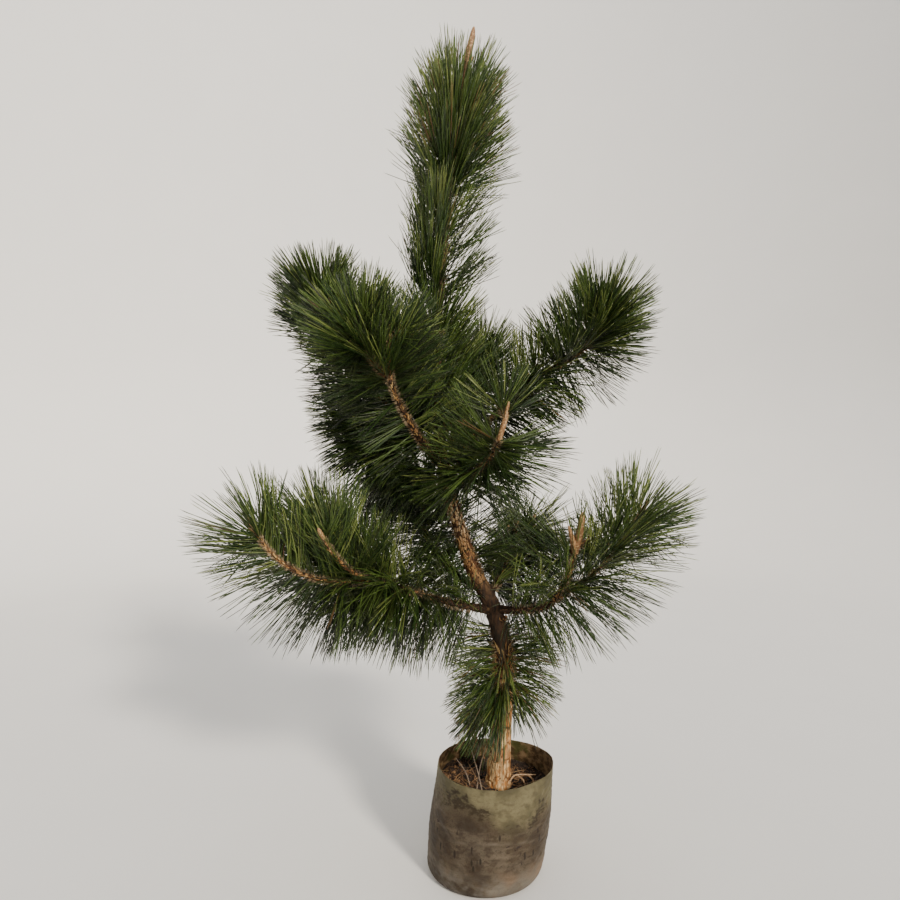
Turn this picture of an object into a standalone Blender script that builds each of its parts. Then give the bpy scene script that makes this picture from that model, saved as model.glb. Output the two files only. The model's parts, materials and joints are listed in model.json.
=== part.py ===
"""A young Japanese black pine in its planter bag, each sub-part a closed solid of its own.

The trunk runs whole from the soil to the candle at its tip. Boughs leave it in two whorls,
and each ends where its mass of needles begins. A mass is one solid: twigs with three sided
needles fused on, set round the twig by the golden angle. Needles on the trunk itself stand on
thin sleeves of shoots. Every needle here stands for a spray of finer ones.
Metres, +Z up. The origin is the middle of the bag's flat underside.
"""

import math
from collections import namedtuple

import bmesh
import bpy
import numpy as np
from mathutils import Matrix, Vector

# Play between two solids that touch, and the reach of a weld
GAP = 0.0003
WELD = 0.00002

TREE_COLLECTION = "potted_pine"
CUTTER_COLLECTION = "cutters"

# Planter bag: a soft tube that leans to one side, with a rounded foot
BAG_HEIGHT = 0.215
BAG_RADIUS = 0.119
BAG_BELLY = 0.004
BAG_WALL = 0.0015
BAG_CORNER = 0.018
BAG_LEAN = 0.0247
BAG_SIDES = 32
BAG_RINGS = 5
CORNER_RINGS = 3
RIM_WAVE = 0.0025
SIDE_WAVE = 0.0022

# Soil: level round the trunk, heaped against the wall
SOIL_HEIGHT = 0.1685
SOIL_HEAP = 0.014
SOIL_LEVEL_RADIUS = 0.062
SOIL_HEAP_TURN = 0.4
SOIL_PLAY = 0.0005
SOIL_SHOULDER = 0.010

# Trunk stations: height, x, y, radius
TRUNK = np.array([
    (SOIL_HEIGHT + GAP, 0.031, 0.000, 0.0290),
    (0.268, 0.035, 0.000, 0.0270),
    (0.372, 0.041, 0.002, 0.0250),
    (0.455, 0.041, 0.005, 0.0235),
    (0.527, 0.023, 0.008, 0.0215),
    (0.620, -0.022, 0.010, 0.0175),
    (0.706, -0.051, 0.012, 0.0150),
    (0.786, -0.072, 0.015, 0.0135),
    (0.864, -0.089, 0.018, 0.0115),
    (0.960, -0.098, 0.020, 0.0100),
    (1.185, -0.094, 0.020, 0.0085),
    (1.404, -0.074, 0.015, 0.0070),
    (1.600, -0.051, 0.005, 0.0058),
    (1.681, -0.036, 0.000, 0.0062),
    (1.755, -0.020, 0.000, 0.0016),
])
FLARE_WIDTH = 0.0085
FLARE_HEIGHT = 0.022
FLARE_RINGS = (0.008, 0.022)
TRUNK_RINGS = 24

# Boughs: height of the foot on the trunk, elbow, tip, radius at foot and tip
BOUGHS = {
    "bough_low_left": (0.532, (-0.030, -0.014, 0.540), (-0.095, -0.028, 0.561), 0.0115, 0.0090),
    "bough_low_right": (0.534, (0.080, -0.020, 0.531), (0.132, -0.032, 0.549), 0.0110, 0.0085),
    "bough_low_back": (0.556, (0.020, 0.050, 0.562), (0.045, 0.082, 0.592), 0.0090, 0.0075),
    "bough_back_left": (0.570, (-0.050, 0.060, 0.584), (-0.098, 0.100, 0.632), 0.0085, 0.0072),
    "bough_mid_left": (0.790, (-0.102, 0.022, 0.806), (-0.134, 0.030, 0.828), 0.0080, 0.0068),
    "bough_mid_front": (0.797, (-0.052, -0.040, 0.798), (-0.021, -0.080, 0.826), 0.0085, 0.0070),
    "bough_upper_back": (0.812, (-0.083, 0.060, 0.820), (-0.093, 0.095, 0.862), 0.0075, 0.0065),
    "bough_upper_left": (0.832, (-0.118, -0.050, 0.858), (-0.168, -0.097, 0.957), 0.0100, 0.0078),
    "bough_right": (0.836, (-0.055, 0.024, 0.858), (-0.017, 0.030, 0.896), 0.0090, 0.0078),
    "bough_far_left": (0.858, (-0.120, 0.020, 0.882), (-0.165, 0.020, 0.930), 0.0085, 0.0072),
    "bough_back_right": (0.868, (-0.065, 0.055, 0.885), (-0.045, 0.085, 0.925), 0.0075, 0.0065),
}
BOUGH_RINGS = 6

# Needles: root radius of a three sided cone, length, play between two needles
NEEDLE_ROOT = 0.0036
NEEDLE_LENGTH = 0.140
NEEDLE_PLAY = 0.0007
LIMB_PLAY = 0.0008
SPACE_OVERLAP = 0.05
GOLDEN_ANGLE = math.pi * (3.0 - math.sqrt(5.0))

# A twig of a mass: the twig it forks from with the place along it from 0 to 1, or None where it
# goes on from the bough's tip; elbow and tip; radius at foot and tip; needle step; spread of the
# needles in degrees at foot and tip; the pull that turns them aside; the bare candle at its end
Twig = namedtuple("Twig", "parent elbow tip radii step spread pull candle")

MASSES = {
    "needles_low_left": ("bough_low_left", [
        Twig(None, (-0.170, -0.050, 0.590), (-0.229, -0.060, 0.606), (0.0080, 0.0070), 0.0052, (85, 75),
             (0.0, 0.0, -0.60), 0.004),
        Twig((0, 1.0), (-0.400, -0.092, 0.588), (-0.464, -0.100, 0.738), (0.0068, 0.0040), 0.0045, (80, 32),
             (0.0, 0.0, -0.25), 0.035),
        Twig((0, 0.95), (-0.285, -0.112, 0.630), (-0.320, -0.140, 0.722), (0.0060, 0.0040), 0.0056, (75, 35),
             (0.0, 0.0, -0.10), 0.025),
        Twig((0, 0.55), (-0.300, 0.045, 0.600), (-0.390, 0.085, 0.722), (0.0062, 0.0040), 0.0054, (75, 35),
             (0.0, 0.0, -0.10), 0.025),
    ]),
    "needles_low_right": ("bough_low_right", [
        Twig(None, (0.180, -0.042, 0.590), (0.197, -0.054, 0.745), (0.0075, 0.0040), 0.0047, (90, 28),
             (0.0, 0.0, -0.30), 0.060),
        Twig((0, 0.10), (0.268, -0.005, 0.615), (0.346, 0.005, 0.762), (0.0068, 0.0040), 0.0040, (80, 30),
             (0.0, 0.0, -0.20), 0.030),
    ]),
    "needles_low_back": ("bough_low_back", [
        Twig(None, (0.068, 0.120, 0.630), (0.062, 0.125, 0.700), (0.0067, 0.0040), 0.0049, (80, 32),
             (0.0, 0.0, -0.15), 0.025),
        Twig((0, 0.15), (0.110, 0.150, 0.625), (0.130, 0.170, 0.722), (0.0064, 0.0040), 0.0049, (75, 32),
             (0.0, 0.0, -0.15), 0.025),
    ]),
    "needles_back_left": ("bough_back_left", [
        Twig(None, (-0.150, 0.135, 0.690), (-0.172, 0.150, 0.800), (0.0064, 0.0040), 0.0038, (85, 35),
             (0.0, 0.0, -0.15), 0.025),
    ]),
    "needles_mid_front": ("bough_mid_front", [
        Twig(None, (0.024, -0.130, 0.850), (0.042, -0.130, 0.962), (0.0062, 0.0040), 0.0026, (95, 32),
             (0.0, 0.0, -0.15), 0.050),
    ]),
    "needles_mid_left": ("bough_mid_left", [
        Twig(None, (-0.245, 0.068, 0.870), (-0.272, 0.080, 0.978), (0.0060, 0.0040), 0.0032, (85, 32),
             (0.0, 0.0, -0.25), 0.030),
    ]),
    "needles_upper_left": ("bough_upper_left", [
        Twig(None, (-0.196, -0.118, 1.000), (-0.184, -0.132, 1.110), (0.0070, 0.0040), 0.0034, (80, 32),
             (0.0, 0.0, -0.10), 0.025),
        Twig((0, 0.30), (-0.235, -0.128, 1.040), (-0.255, -0.134, 1.135), (0.0062, 0.0040), 0.0032, (75, 34),
             (0.0, 0.0, -0.05), 0.025),
    ]),
    "needles_far_left": ("bough_far_left", [
        Twig(None, (-0.330, 0.026, 1.068), (-0.350, 0.030, 1.215), (0.0064, 0.0042), 0.0035, (80, 38),
             (0.0, 0.0, 0.0), 0.014),
    ]),
    "needles_right": ("bough_right", [
        Twig(None, (0.070, 0.038, 1.010), (0.150, 0.040, 1.043), (0.0070, 0.0060), 0.0058, (80, 65),
             (0.0, 0.0, -0.15), 0.004),
        Twig((0, 1.0), (0.250, 0.042, 1.082), (0.268, 0.042, 1.186), (0.0060, 0.0042), 0.0025, (98, 38),
             (0.0, 0.0, 0.0), 0.012),
    ]),
    "needles_upper_back": ("bough_upper_back", [
        Twig(None, (-0.100, 0.150, 0.900), (-0.108, 0.190, 1.030), (0.0057, 0.0040), 0.0035, (80, 34),
             (0.0, 0.0, -0.15), 0.020),
    ]),
    "needles_back_right": ("bough_back_right", [
        Twig(None, (-0.010, 0.130, 0.980), (-0.004, 0.150, 1.100), (0.0057, 0.0040), 0.0035, (80, 34),
             (0.0, 0.0, -0.05), 0.020),
    ]),
}
# Bare length at a twig's foot, and how far a mass's stem starts inside its bough before it is cut
FIRST_NEEDLE = 0.008
FOOT_SINK = 0.002

# A sleeve of needles on the trunk: lowest and highest point, wall, and the needles as on a twig
Sleeve = namedtuple("Sleeve", "low high wall step spread pull length")

SLEEVES = {
    "needles_trunk_skirt": Sleeve(0.340, 0.506, 0.0040, 0.0022, (95, 75), (0.0, 0.0, -0.75), 0.122),
    "needles_trunk_middle": Sleeve(0.594, 0.772, 0.0035, 0.0026, (80, 70), (0.0, 0.0, -0.15), 0.125),
    "needles_leader_low": Sleeve(0.894, 1.146, 0.0032, 0.0029, (60, 50), (0.30, 0.0, 0.05), 0.140),
    "needles_leader_middle": Sleeve(1.150, 1.392, 0.0030, 0.0032, (52, 48), (0.32, 0.0, 0.0), 0.145),
    "needles_leader_top": Sleeve(1.396, 1.628, 0.0028, 0.0026, (57, 32), (0.05, 0.0, 0.0), 0.142),
}
SLEEVE_MARGIN = 0.008
PULL_FADE = 0.6

# The golden angle rule: what a turn is measured from, how it is loosened in radians, degrees and
# shares of the length, and how much of a needle counts as sunk in its twig
TURN_REFERENCE = (0.31, -0.93, 0.20)
HEADING_STATIONS = 24
TURN_LUCK = 0.15
LEAN_LUCK = 5.0
LENGTH_LUCK = 0.06
TIP_SHORTENING = 0.12
LEAST_LEAN = 0.3
BARE_START = 0.002
SPACE_STATIONS = 12

# Rings along the cores, and Blender's bevel levels for the sides of each kind of limb
SLEEVE_RINGS = 5
TWIG_RINGS = 6
CORE_SIDES_LEVEL = 0
LIMB_SIDES_LEVEL = 2
TRUNK_SIDES_LEVEL = 3

# Angles in degrees up to which shading is smooth
FIRM_EDGE = 40
BARK_EDGE = 60
NEEDLE_EDGE = 30


def smooth(at, knots, values):
    """Cubic Hermite pieces through the values, whose slopes are the gradient at each knot."""
    slopes = np.gradient(values, knots)
    piece = np.clip(np.searchsorted(knots, at) - 1, 0, len(knots) - 2)
    width = knots[piece + 1] - knots[piece]
    t = (at - knots[piece]) / width
    rise = t * t * (3.0 - 2.0 * t)
    lead = t * (1.0 - t) ** 2 * width * slopes[piece]
    trail = t * t * (1.0 - t) * width * slopes[piece + 1]
    return values[piece] * (1.0 - rise) + values[piece + 1] * rise + lead - trail


def trunk_centre(heights):
    """Points on the trunk's axis, whose foot stands upright so that the cut there is level."""
    heights = np.atleast_1d(heights)
    above_foot = np.maximum(heights, TRUNK[0, 0] + FLARE_RINGS[0])
    x = smooth(above_foot, TRUNK[:, 0], TRUNK[:, 1])
    y = smooth(above_foot, TRUNK[:, 0], TRUNK[:, 2])
    return np.stack([x, y, heights], axis=1)


def trunk_radius(heights):
    """The trunk's taper, with a root flare that dies away up the stem."""
    heights = np.atleast_1d(heights)
    flare = FLARE_WIDTH * np.exp((TRUNK[0, 0] - heights) / FLARE_HEIGHT)
    return np.interp(heights, TRUNK[:, 0], TRUNK[:, 3]) + flare


def bend(foot, elbow, tip, count):
    """Points on the quadratic Bezier curve from foot to tip that the elbow pulls."""
    t = np.linspace(0.0, 1.0, count)[:, None]
    foot, elbow, tip = (np.asarray(place, float) for place in (foot, elbow, tip))
    return (1.0 - t) ** 2 * foot + 2.0 * t * (1.0 - t) * elbow + t * t * tip


def tangents(points):
    """Unit directions along a line of points."""
    steps = np.gradient(points, axis=0)
    return steps / np.linalg.norm(steps, axis=1, keepdims=True)


def resample(points, places):
    """Points at the given lengths along a line of points."""
    steps = np.linalg.norm(np.diff(points, axis=0), axis=1)
    along = np.concatenate([[0.0], np.cumsum(steps)])
    return np.stack([np.interp(places, along, points[:, axis]) for axis in range(3)], axis=1), along[-1]


def needles_along(points, radii, growth, length, seed, first, last):
    """Roots, tips and bare starts of the needles along a twig.

    Needle number i stands at i steps along the twig and i golden angles round it. It leans
    forward by the spread, which closes from foot to tip, and is pulled aside, most at the foot.
    """
    whole = resample(points, [0.0])[1]
    places = np.arange(first, whole - last, growth.step)
    roots = resample(points, places)[0]
    stations = np.linspace(0.0, 1.0, HEADING_STATIONS)
    heading = tangents(resample(points, stations * whole)[0])
    share = places / whole
    ahead = np.stack([np.interp(share, stations, heading[:, axis]) for axis in range(3)], axis=1)
    ahead /= np.linalg.norm(ahead, axis=1, keepdims=True)
    aside = np.cross(ahead, TURN_REFERENCE)
    aside /= np.linalg.norm(aside, axis=1, keepdims=True)
    above = np.cross(ahead, aside)
    luck = np.random.default_rng(seed).uniform(-1.0, 1.0, (len(places), 3))
    around = seed + GOLDEN_ANGLE * np.arange(len(places)) + TURN_LUCK * luck[:, 0]
    foot_spread, tip_spread = growth.spread
    lean = np.radians(foot_spread + (tip_spread - foot_spread) * share + LEAN_LUCK * luck[:, 1])
    outward = np.cos(around)[:, None] * aside + np.sin(around)[:, None] * above
    way = np.cos(lean)[:, None] * ahead + np.sin(lean)[:, None] * outward
    way += np.outer(1.0 - PULL_FADE * share, growth.pull)
    way /= np.linalg.norm(way, axis=1, keepdims=True)
    reach = length * (1.0 + LENGTH_LUCK * luck[:, 2]) * (1.0 - TIP_SHORTENING * share ** 3)
    radius = np.interp(share, np.linspace(0.0, 1.0, len(radii)), radii)
    bare = radius / np.maximum(np.sin(lean), LEAST_LEAN) + BARE_START
    return roots, roots + way * reach[:, None], roots + way * bare[:, None]


def distances(start, end, starts, ends):
    """Nearest distances from one segment to many, and how far along both they are met."""
    one = end - start
    many = ends - starts
    apart = start - starts
    a = one @ one
    e = np.einsum("ij,ij->i", many, many)
    f = np.einsum("ij,ij->i", many, apart)
    b = many @ one
    c = apart @ one
    s = np.clip((b * f - c * e) / np.maximum(a * e - b * b, 1e-12), 0.0, 1.0)
    t = np.clip((b * s + f) / e, 0.0, 1.0)
    s = np.clip((b * t - c) / a, 0.0, 1.0)
    near = np.linalg.norm(apart + s[:, None] * one - t[:, None] * many, axis=1)
    return near, s, t


def limb_lines():
    """Points and radii of the trunk, the boughs and every twig, each under its own name."""
    heights = np.linspace(TRUNK[0, 0], TRUNK[-1, 0], TRUNK_RINGS)
    heights = np.insert(heights, 1, TRUNK[0, 0] + FLARE_RINGS)
    lines = {"trunk": (trunk_centre(heights), trunk_radius(heights))}
    for name, (height, elbow, tip, foot_radius, tip_radius) in BOUGHS.items():
        points = bend(trunk_centre(height)[0], elbow, tip, BOUGH_RINGS)
        lines[name] = (points, np.linspace(foot_radius, tip_radius, BOUGH_RINGS))
    for name, (bough, twigs) in MASSES.items():
        for number, twig in enumerate(twigs):
            if twig.parent is None:
                points = lines[bough][0]
                foot = points[-1] - tangents(points)[-1] * FOOT_SINK
            else:
                points = lines[f"{name}.{twig.parent[0]}"][0]
                foot = resample(points, [twig.parent[1] * resample(points, [0.0])[1]])[0][0]
            radii = np.linspace(*twig.radii, TWIG_RINGS)
            lines[f"{name}.{number}"] = (bend(foot, twig.elbow, twig.tip, TWIG_RINGS), radii)
    for name, sleeve in SLEEVES.items():
        heights = np.linspace(sleeve.low, sleeve.high, SLEEVE_RINGS)
        lines[f"{name}.0"] = (trunk_centre(heights), trunk_radius(heights) + sleeve.wall)
    return lines


def wanted_needles(lines):
    """Every needle the golden angle rule asks for: mass, twig, root, tip and bare start."""
    wanted = []
    seed = 0
    for name, (_, twigs) in MASSES.items():
        for number, twig in enumerate(twigs):
            seed += 1
            core = f"{name}.{number}"
            grown = needles_along(*lines[core], twig, NEEDLE_LENGTH, seed, FIRST_NEEDLE, twig.candle)
            wanted += [(name, core, *needle) for needle in zip(*grown)]
    for name, sleeve in SLEEVES.items():
        seed += 1
        core = f"{name}.0"
        grown = needles_along(*lines[core], sleeve, sleeve.length, seed, SLEEVE_MARGIN, SLEEVE_MARGIN)
        wanted += [(name, core, *needle) for needle in zip(*grown)]
    return wanted


def free_needles(lines):
    """The wanted needles, less each one that would leave its mass's space or touch another piece.

    A mass's space is what lies nearer to its own twigs than to another's, with a little overlap.
    """
    limbs = [(name, points[i], points[i + 1], max(radii[i], radii[i + 1]))
             for name, (points, radii) in lines.items() for i in range(len(points) - 1)]
    limb_names = np.array([limb[0] for limb in limbs])
    limb_starts = np.array([limb[1] for limb in limbs])
    limb_ends = np.array([limb[2] for limb in limbs])
    limb_radii = np.array([limb[3] for limb in limbs])
    cores = {}
    for name, (points, _) in lines.items():
        if "." in name:
            whole = resample(points, [0.0])[1]
            cores[name] = resample(points, np.linspace(0.0, whole, SPACE_STATIONS))[0]
    kept = {}
    starts, ends = np.zeros((0, 3)), np.zeros((0, 3))
    for mass, twig, root, tip, bare in wanted_needles(lines):
        own = min(np.linalg.norm(core - tip, axis=1).min() for name, core in cores.items()
                  if name.split(".")[0] == mass)
        other = min(np.linalg.norm(core - tip, axis=1).min() for name, core in cores.items()
                    if name.split(".")[0] != mass)
        if own > other + SPACE_OVERLAP:
            continue
        near, along, _ = distances(bare, tip, limb_starts, limb_ends)
        mine = limb_names == twig
        if mass in SLEEVES:
            mine |= limb_names == "trunk"
        if np.any((near < limb_radii + NEEDLE_ROOT * (1.0 - along) + LIMB_PLAY) & ~mine):
            continue
        if len(starts):
            near, along, across = distances(bare, tip, starts, ends)
            if np.any(near < NEEDLE_ROOT * (2.0 - along - across) + NEEDLE_PLAY):
                continue
        starts, ends = np.vstack([starts, bare]), np.vstack([ends, tip])
        kept.setdefault(mass, []).append((root, tip))
    return kept


def bag_outline(inset):
    """Radius and height down the bag's side, round its foot and in to the middle of its floor."""
    heights = np.linspace(BAG_HEIGHT, BAG_CORNER, BAG_RINGS)
    belly = BAG_BELLY * np.sin(math.pi * (1.0 - heights / BAG_HEIGHT))
    side = [(BAG_RADIUS + swell - inset, height) for swell, height in zip(belly, heights)]
    centre = side[-1][0] + inset - BAG_CORNER
    turns = np.linspace(0.0, math.pi / 2.0, CORNER_RINGS + 1)[1:]
    radius = BAG_CORNER - inset
    corner = [(centre + radius * math.cos(turn), BAG_CORNER - radius * math.sin(turn)) for turn in turns]
    return side + corner + [(0.0, inset)]


def soften(point):
    """Leans a point of the bag or its soil with height, and waves it round the side and rim."""
    x, y, z = point
    turn = math.atan2(y, x)
    reach = math.hypot(x, y) / BAG_RADIUS
    share = z / BAG_HEIGHT
    wave = SIDE_WAVE * share * (math.sin(2.0 * turn + 0.6) + 0.5 * math.sin(3.0 * turn + 2.0)) * reach
    rim = RIM_WAVE * (share * reach) ** 6 * math.sin(2.0 * turn + 1.9)
    return Vector((x + wave * math.cos(turn) + BAG_LEAN * share, y + wave * math.sin(turn), z + rim))


def new_mesh_object(name, mesh, matrix=None):
    """An object of the tree's collection for a mesh."""
    piece = bpy.data.objects.new(name, mesh)
    if matrix is not None:
        piece.matrix_world = matrix
    bpy.data.collections[TREE_COLLECTION].objects.link(piece)
    return piece


def settle(piece, weld=True):
    """Replaces an object by the mesh its modifiers or its curve make, with a curve's caps welded."""
    bpy.context.view_layer.update()
    graph = bpy.context.evaluated_depsgraph_get()
    mesh = bpy.data.meshes.new_from_object(piece.evaluated_get(graph))
    name, matrix = piece.name, piece.matrix_world.copy()
    bpy.data.objects.remove(piece)
    if weld:
        work = bmesh.new()
        work.from_mesh(mesh)
        bmesh.ops.remove_doubles(work, verts=work.verts, dist=WELD)
        work.to_mesh(mesh)
        work.free()
    mesh.name = name
    return new_mesh_object(name, mesh, matrix)


def turned(name, profile, sides):
    """A profile of radius and height pairs, turned about the Z axis by a Screw modifier."""
    mesh = bpy.data.meshes.new(name)
    count = len(profile)
    mesh.from_pydata([(radius, 0.0, height) for radius, height in profile],
                     [(i, i + 1) for i in range(count - 1)], [])
    piece = new_mesh_object(name, mesh)
    screw = piece.modifiers.new("turn", "SCREW")
    screw.steps = sides
    screw.render_steps = sides
    screw.use_merge_vertices = True
    screw.merge_threshold = WELD
    return settle(piece)


def tube(name, points, radii, sides_level):
    """A tapering round limb along a line of points, from a poly curve with filled caps."""
    curve = bpy.data.curves.new(name, "CURVE")
    curve.dimensions = "3D"
    curve.bevel_depth = 1.0
    curve.bevel_resolution = sides_level
    curve.use_fill_caps = True
    spline = curve.splines.new("POLY")
    spline.points.add(len(points) - 1)
    for knot, point, radius in zip(spline.points, points, radii):
        knot.co = (*point, 1.0)
        knot.radius = radius
    return settle(new_mesh_object(name, curve))


def combine(piece, operation, solver, others):
    """Joins a collection of solids to a piece, or cuts one cutter from it, and applies that."""
    change = piece.modifiers.new(operation.lower(), "BOOLEAN")
    change.operation = operation
    change.solver = solver
    if isinstance(others, bpy.types.Collection):
        change.operand_type = "COLLECTION"
        change.collection = others
    else:
        change.object = others
    return settle(piece, weld=False)


def cut_clear(piece, cutter):
    """Cuts a piece clear of a cutter, which is then removed."""
    bpy.data.collections[TREE_COLLECTION].objects.unlink(cutter)
    bpy.data.collections[CUTTER_COLLECTION].objects.link(cutter)
    cutter.hide_render = True
    cutter.display_type = "WIRE"
    piece = combine(piece, "DIFFERENCE", "EXACT", cutter)
    bpy.data.objects.remove(cutter)
    return piece


def needle_mesh():
    """A three sided needle of unit root radius and length, from its root up to its point."""
    mesh = bpy.data.meshes.new("needle")
    work = bmesh.new()
    bmesh.ops.create_cone(work, cap_ends=True, segments=3, radius1=1.0, radius2=0.0, depth=1.0,
                          matrix=Matrix.Translation((0.0, 0.0, 0.5)))
    bmesh.ops.remove_doubles(work, verts=work.verts, dist=WELD)
    work.to_mesh(mesh)
    work.free()
    return mesh


def fuse(core, twigs, needles, unit):
    """One Boolean union of a core with its other twigs and its needles, which are then removed."""
    loose = bpy.data.collections.new("loose")
    bpy.context.scene.collection.children.link(loose)
    for twig in twigs:
        bpy.data.collections[TREE_COLLECTION].objects.unlink(twig)
        loose.objects.link(twig)
    for root, tip in needles:
        way = Vector(tip - root)
        needle = bpy.data.objects.new("needle", unit)
        turn = way.to_track_quat("Z", "Y").to_matrix().to_4x4()
        size = Matrix.Diagonal((NEEDLE_ROOT, NEEDLE_ROOT, way.length, 1.0))
        needle.matrix_world = Matrix.Translation(root) @ turn @ size
        loose.objects.link(needle)
    core = combine(core, "UNION", "EXACT", loose)
    for piece in list(loose.objects):
        bpy.data.objects.remove(piece)
    bpy.data.collections.remove(loose)
    return core


def keep_main_body(piece):
    """Fills the hollows that fusing sealed and drops loose scraps: only the largest skin stays."""
    work = bmesh.new()
    work.from_mesh(piece.data)
    left = set(work.verts)
    skins = []
    while left:
        skin, edge = set(), [left.pop()]
        while edge:
            vertex = edge.pop()
            skin.add(vertex)
            near = {link.other_vert(vertex) for link in vertex.link_edges} & left
            left -= near
            edge += near
        skins.append(skin)
    main_skin = max(skins, key=len)
    bmesh.ops.delete(work, geom=[v for v in work.verts if v not in main_skin], context="VERTS")
    work.to_mesh(piece.data)
    work.free()


def finish(piece, material, smooth_angle):
    """Gives a piece its material and smooth shading up to an angle."""
    piece.data.materials.clear()
    piece.data.materials.append(material)
    piece.data.shade_smooth()
    piece.data.set_sharp_from_angle(angle=math.radians(smooth_angle))


def plain_material(name, colour, roughness):
    """A Principled material of one colour."""
    material = bpy.data.materials.new(name)
    material.use_nodes = True
    shader = material.node_tree.nodes["Principled BSDF"]
    shader.inputs["Base Color"].default_value = (*colour, 1.0)
    shader.inputs["Roughness"].default_value = roughness
    shader.inputs["Metallic"].default_value = 0.0
    return material


def build_bag(material):
    """The planter bag: a thin turned wall with a rounded foot and a flat floor."""
    inner = list(reversed(bag_outline(BAG_WALL)))
    bag = turned("planter_bag", inner + bag_outline(0.0), BAG_SIDES)
    for vertex in bag.data.vertices:
        vertex.co = soften(vertex.co)
    finish(bag, material, FIRM_EDGE)


def soil_top(x, y):
    """Height of the soil before it is leaned: level round the trunk, heaped towards the wall."""
    reach = math.hypot(x, y)
    rise = max(0.0, reach - SOIL_LEVEL_RADIUS) / (BAG_RADIUS - SOIL_LEVEL_RADIUS)
    side = 0.5 - 0.5 * math.cos(math.atan2(y, x) - SOIL_HEAP_TURN)
    return SOIL_HEIGHT + SOIL_HEAP * side * rise


def soil_reach(height):
    """Radius of the soil at a height on the bag's wall, clear of it by the play."""
    radii, heights = np.array(bag_outline(BAG_WALL + SOIL_PLAY))[:BAG_RINGS].T
    return float(np.interp(height, heights[::-1], radii[::-1]))


def build_soil(material):
    """The potting mix: a solid that fills the bag, level round the trunk and heaped at the wall."""
    below = [place for place in bag_outline(BAG_WALL + SOIL_PLAY) if place[1] < SOIL_HEIGHT - SOIL_SHOULDER]
    brim = soil_reach(SOIL_HEIGHT)
    top = [(0.0, SOIL_HEIGHT), (SOIL_LEVEL_RADIUS, SOIL_HEIGHT), (brim, SOIL_HEIGHT)]
    soil = turned("soil", top + below, BAG_SIDES)
    for vertex in soil.data.vertices:
        x, y, z = vertex.co
        if z > SOIL_HEIGHT - WELD:
            z = soil_top(x, y)
            stretch = soil_reach(z) / brim if math.hypot(x, y) > SOIL_LEVEL_RADIUS + WELD else 1.0
            x, y = x * stretch, y * stretch
        vertex.co = soften((x, y, z))
    finish(soil, material, FIRM_EDGE)


def build_limbs(lines, material):
    """The trunk whole, and each bough as a tapering limb cut clear of the trunk at its foot."""
    finish(tube("trunk", *lines["trunk"], TRUNK_SIDES_LEVEL), material, BARK_EDGE)
    for name in BOUGHS:
        bough = tube(name, *lines[name], LIMB_SIDES_LEVEL)
        bough = cut_clear(bough, trunk_cutter(lines))
        finish(bough, material, BARK_EDGE)


def trunk_cutter(lines):
    """The trunk, larger by the play all round."""
    points, radii = lines["trunk"]
    return tube("trunk_cutter", points, radii + GAP, TRUNK_SIDES_LEVEL)


def bough_cutter(lines, name):
    """A bough, larger by the play all round and at its tip."""
    points, radii = lines[name]
    points = np.vstack([points, points[-1] + tangents(points)[-1] * GAP])
    return tube("bough_cutter", points, np.append(radii, radii[-1]) + GAP, LIMB_SIDES_LEVEL)


def build_masses(lines, material):
    """Each mass of needles as one solid, from its twigs and the needles that have room."""
    unit = needle_mesh()
    kept = free_needles(lines)
    for name, (bough, twigs) in MASSES.items():
        cores = [tube(f"{name}.{number}", *lines[f"{name}.{number}"], CORE_SIDES_LEVEL)
                 for number in range(len(twigs))]
        mass = cut_clear(fuse(cores[0], cores[1:], kept[name], unit), bough_cutter(lines, bough))
        mass.name = name
        keep_main_body(mass)
        finish(mass, material, NEEDLE_EDGE)
    for name in SLEEVES:
        sleeve = tube(f"{name}.0", *lines[f"{name}.0"], TRUNK_SIDES_LEVEL)
        mass = cut_clear(fuse(sleeve, [], kept[name], unit), trunk_cutter(lines))
        mass.name = name
        keep_main_body(mass)
        finish(mass, material, NEEDLE_EDGE)


def clear_scene():
    """Removes what the scene starts with, and makes the collections."""
    for piece in list(bpy.data.objects):
        bpy.data.objects.remove(piece)
    for name in (TREE_COLLECTION, CUTTER_COLLECTION):
        bpy.context.scene.collection.children.link(bpy.data.collections.new(name))


def main():
    """Builds the bag, the soil, the limbs and the masses of needles."""
    clear_scene()
    build_bag(plain_material("bag_plastic", (0.20, 0.18, 0.12), 0.6))
    build_soil(plain_material("soil", (0.10, 0.06, 0.035), 0.95))
    lines = limb_lines()
    build_limbs(lines, plain_material("bark", (0.32, 0.19, 0.10), 0.9))
    build_masses(lines, plain_material("needles", (0.06, 0.12, 0.025), 0.5))


main()
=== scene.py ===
"""The looks of a young Japanese black pine in its planter bag.

The limbs follow the lines of the solids: a trunk up to the candle at its tip, boughs in two whorls,
and the twigs of each mass of needles. Needles stand in pairs, set round the twigs by the golden
angle, many for each needle of the solids. Every surface is a grid worked out with numpy.
Metres, +Z up. The origin is the middle of the bag's flat underside.
"""

import json
import math
from collections import namedtuple

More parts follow.
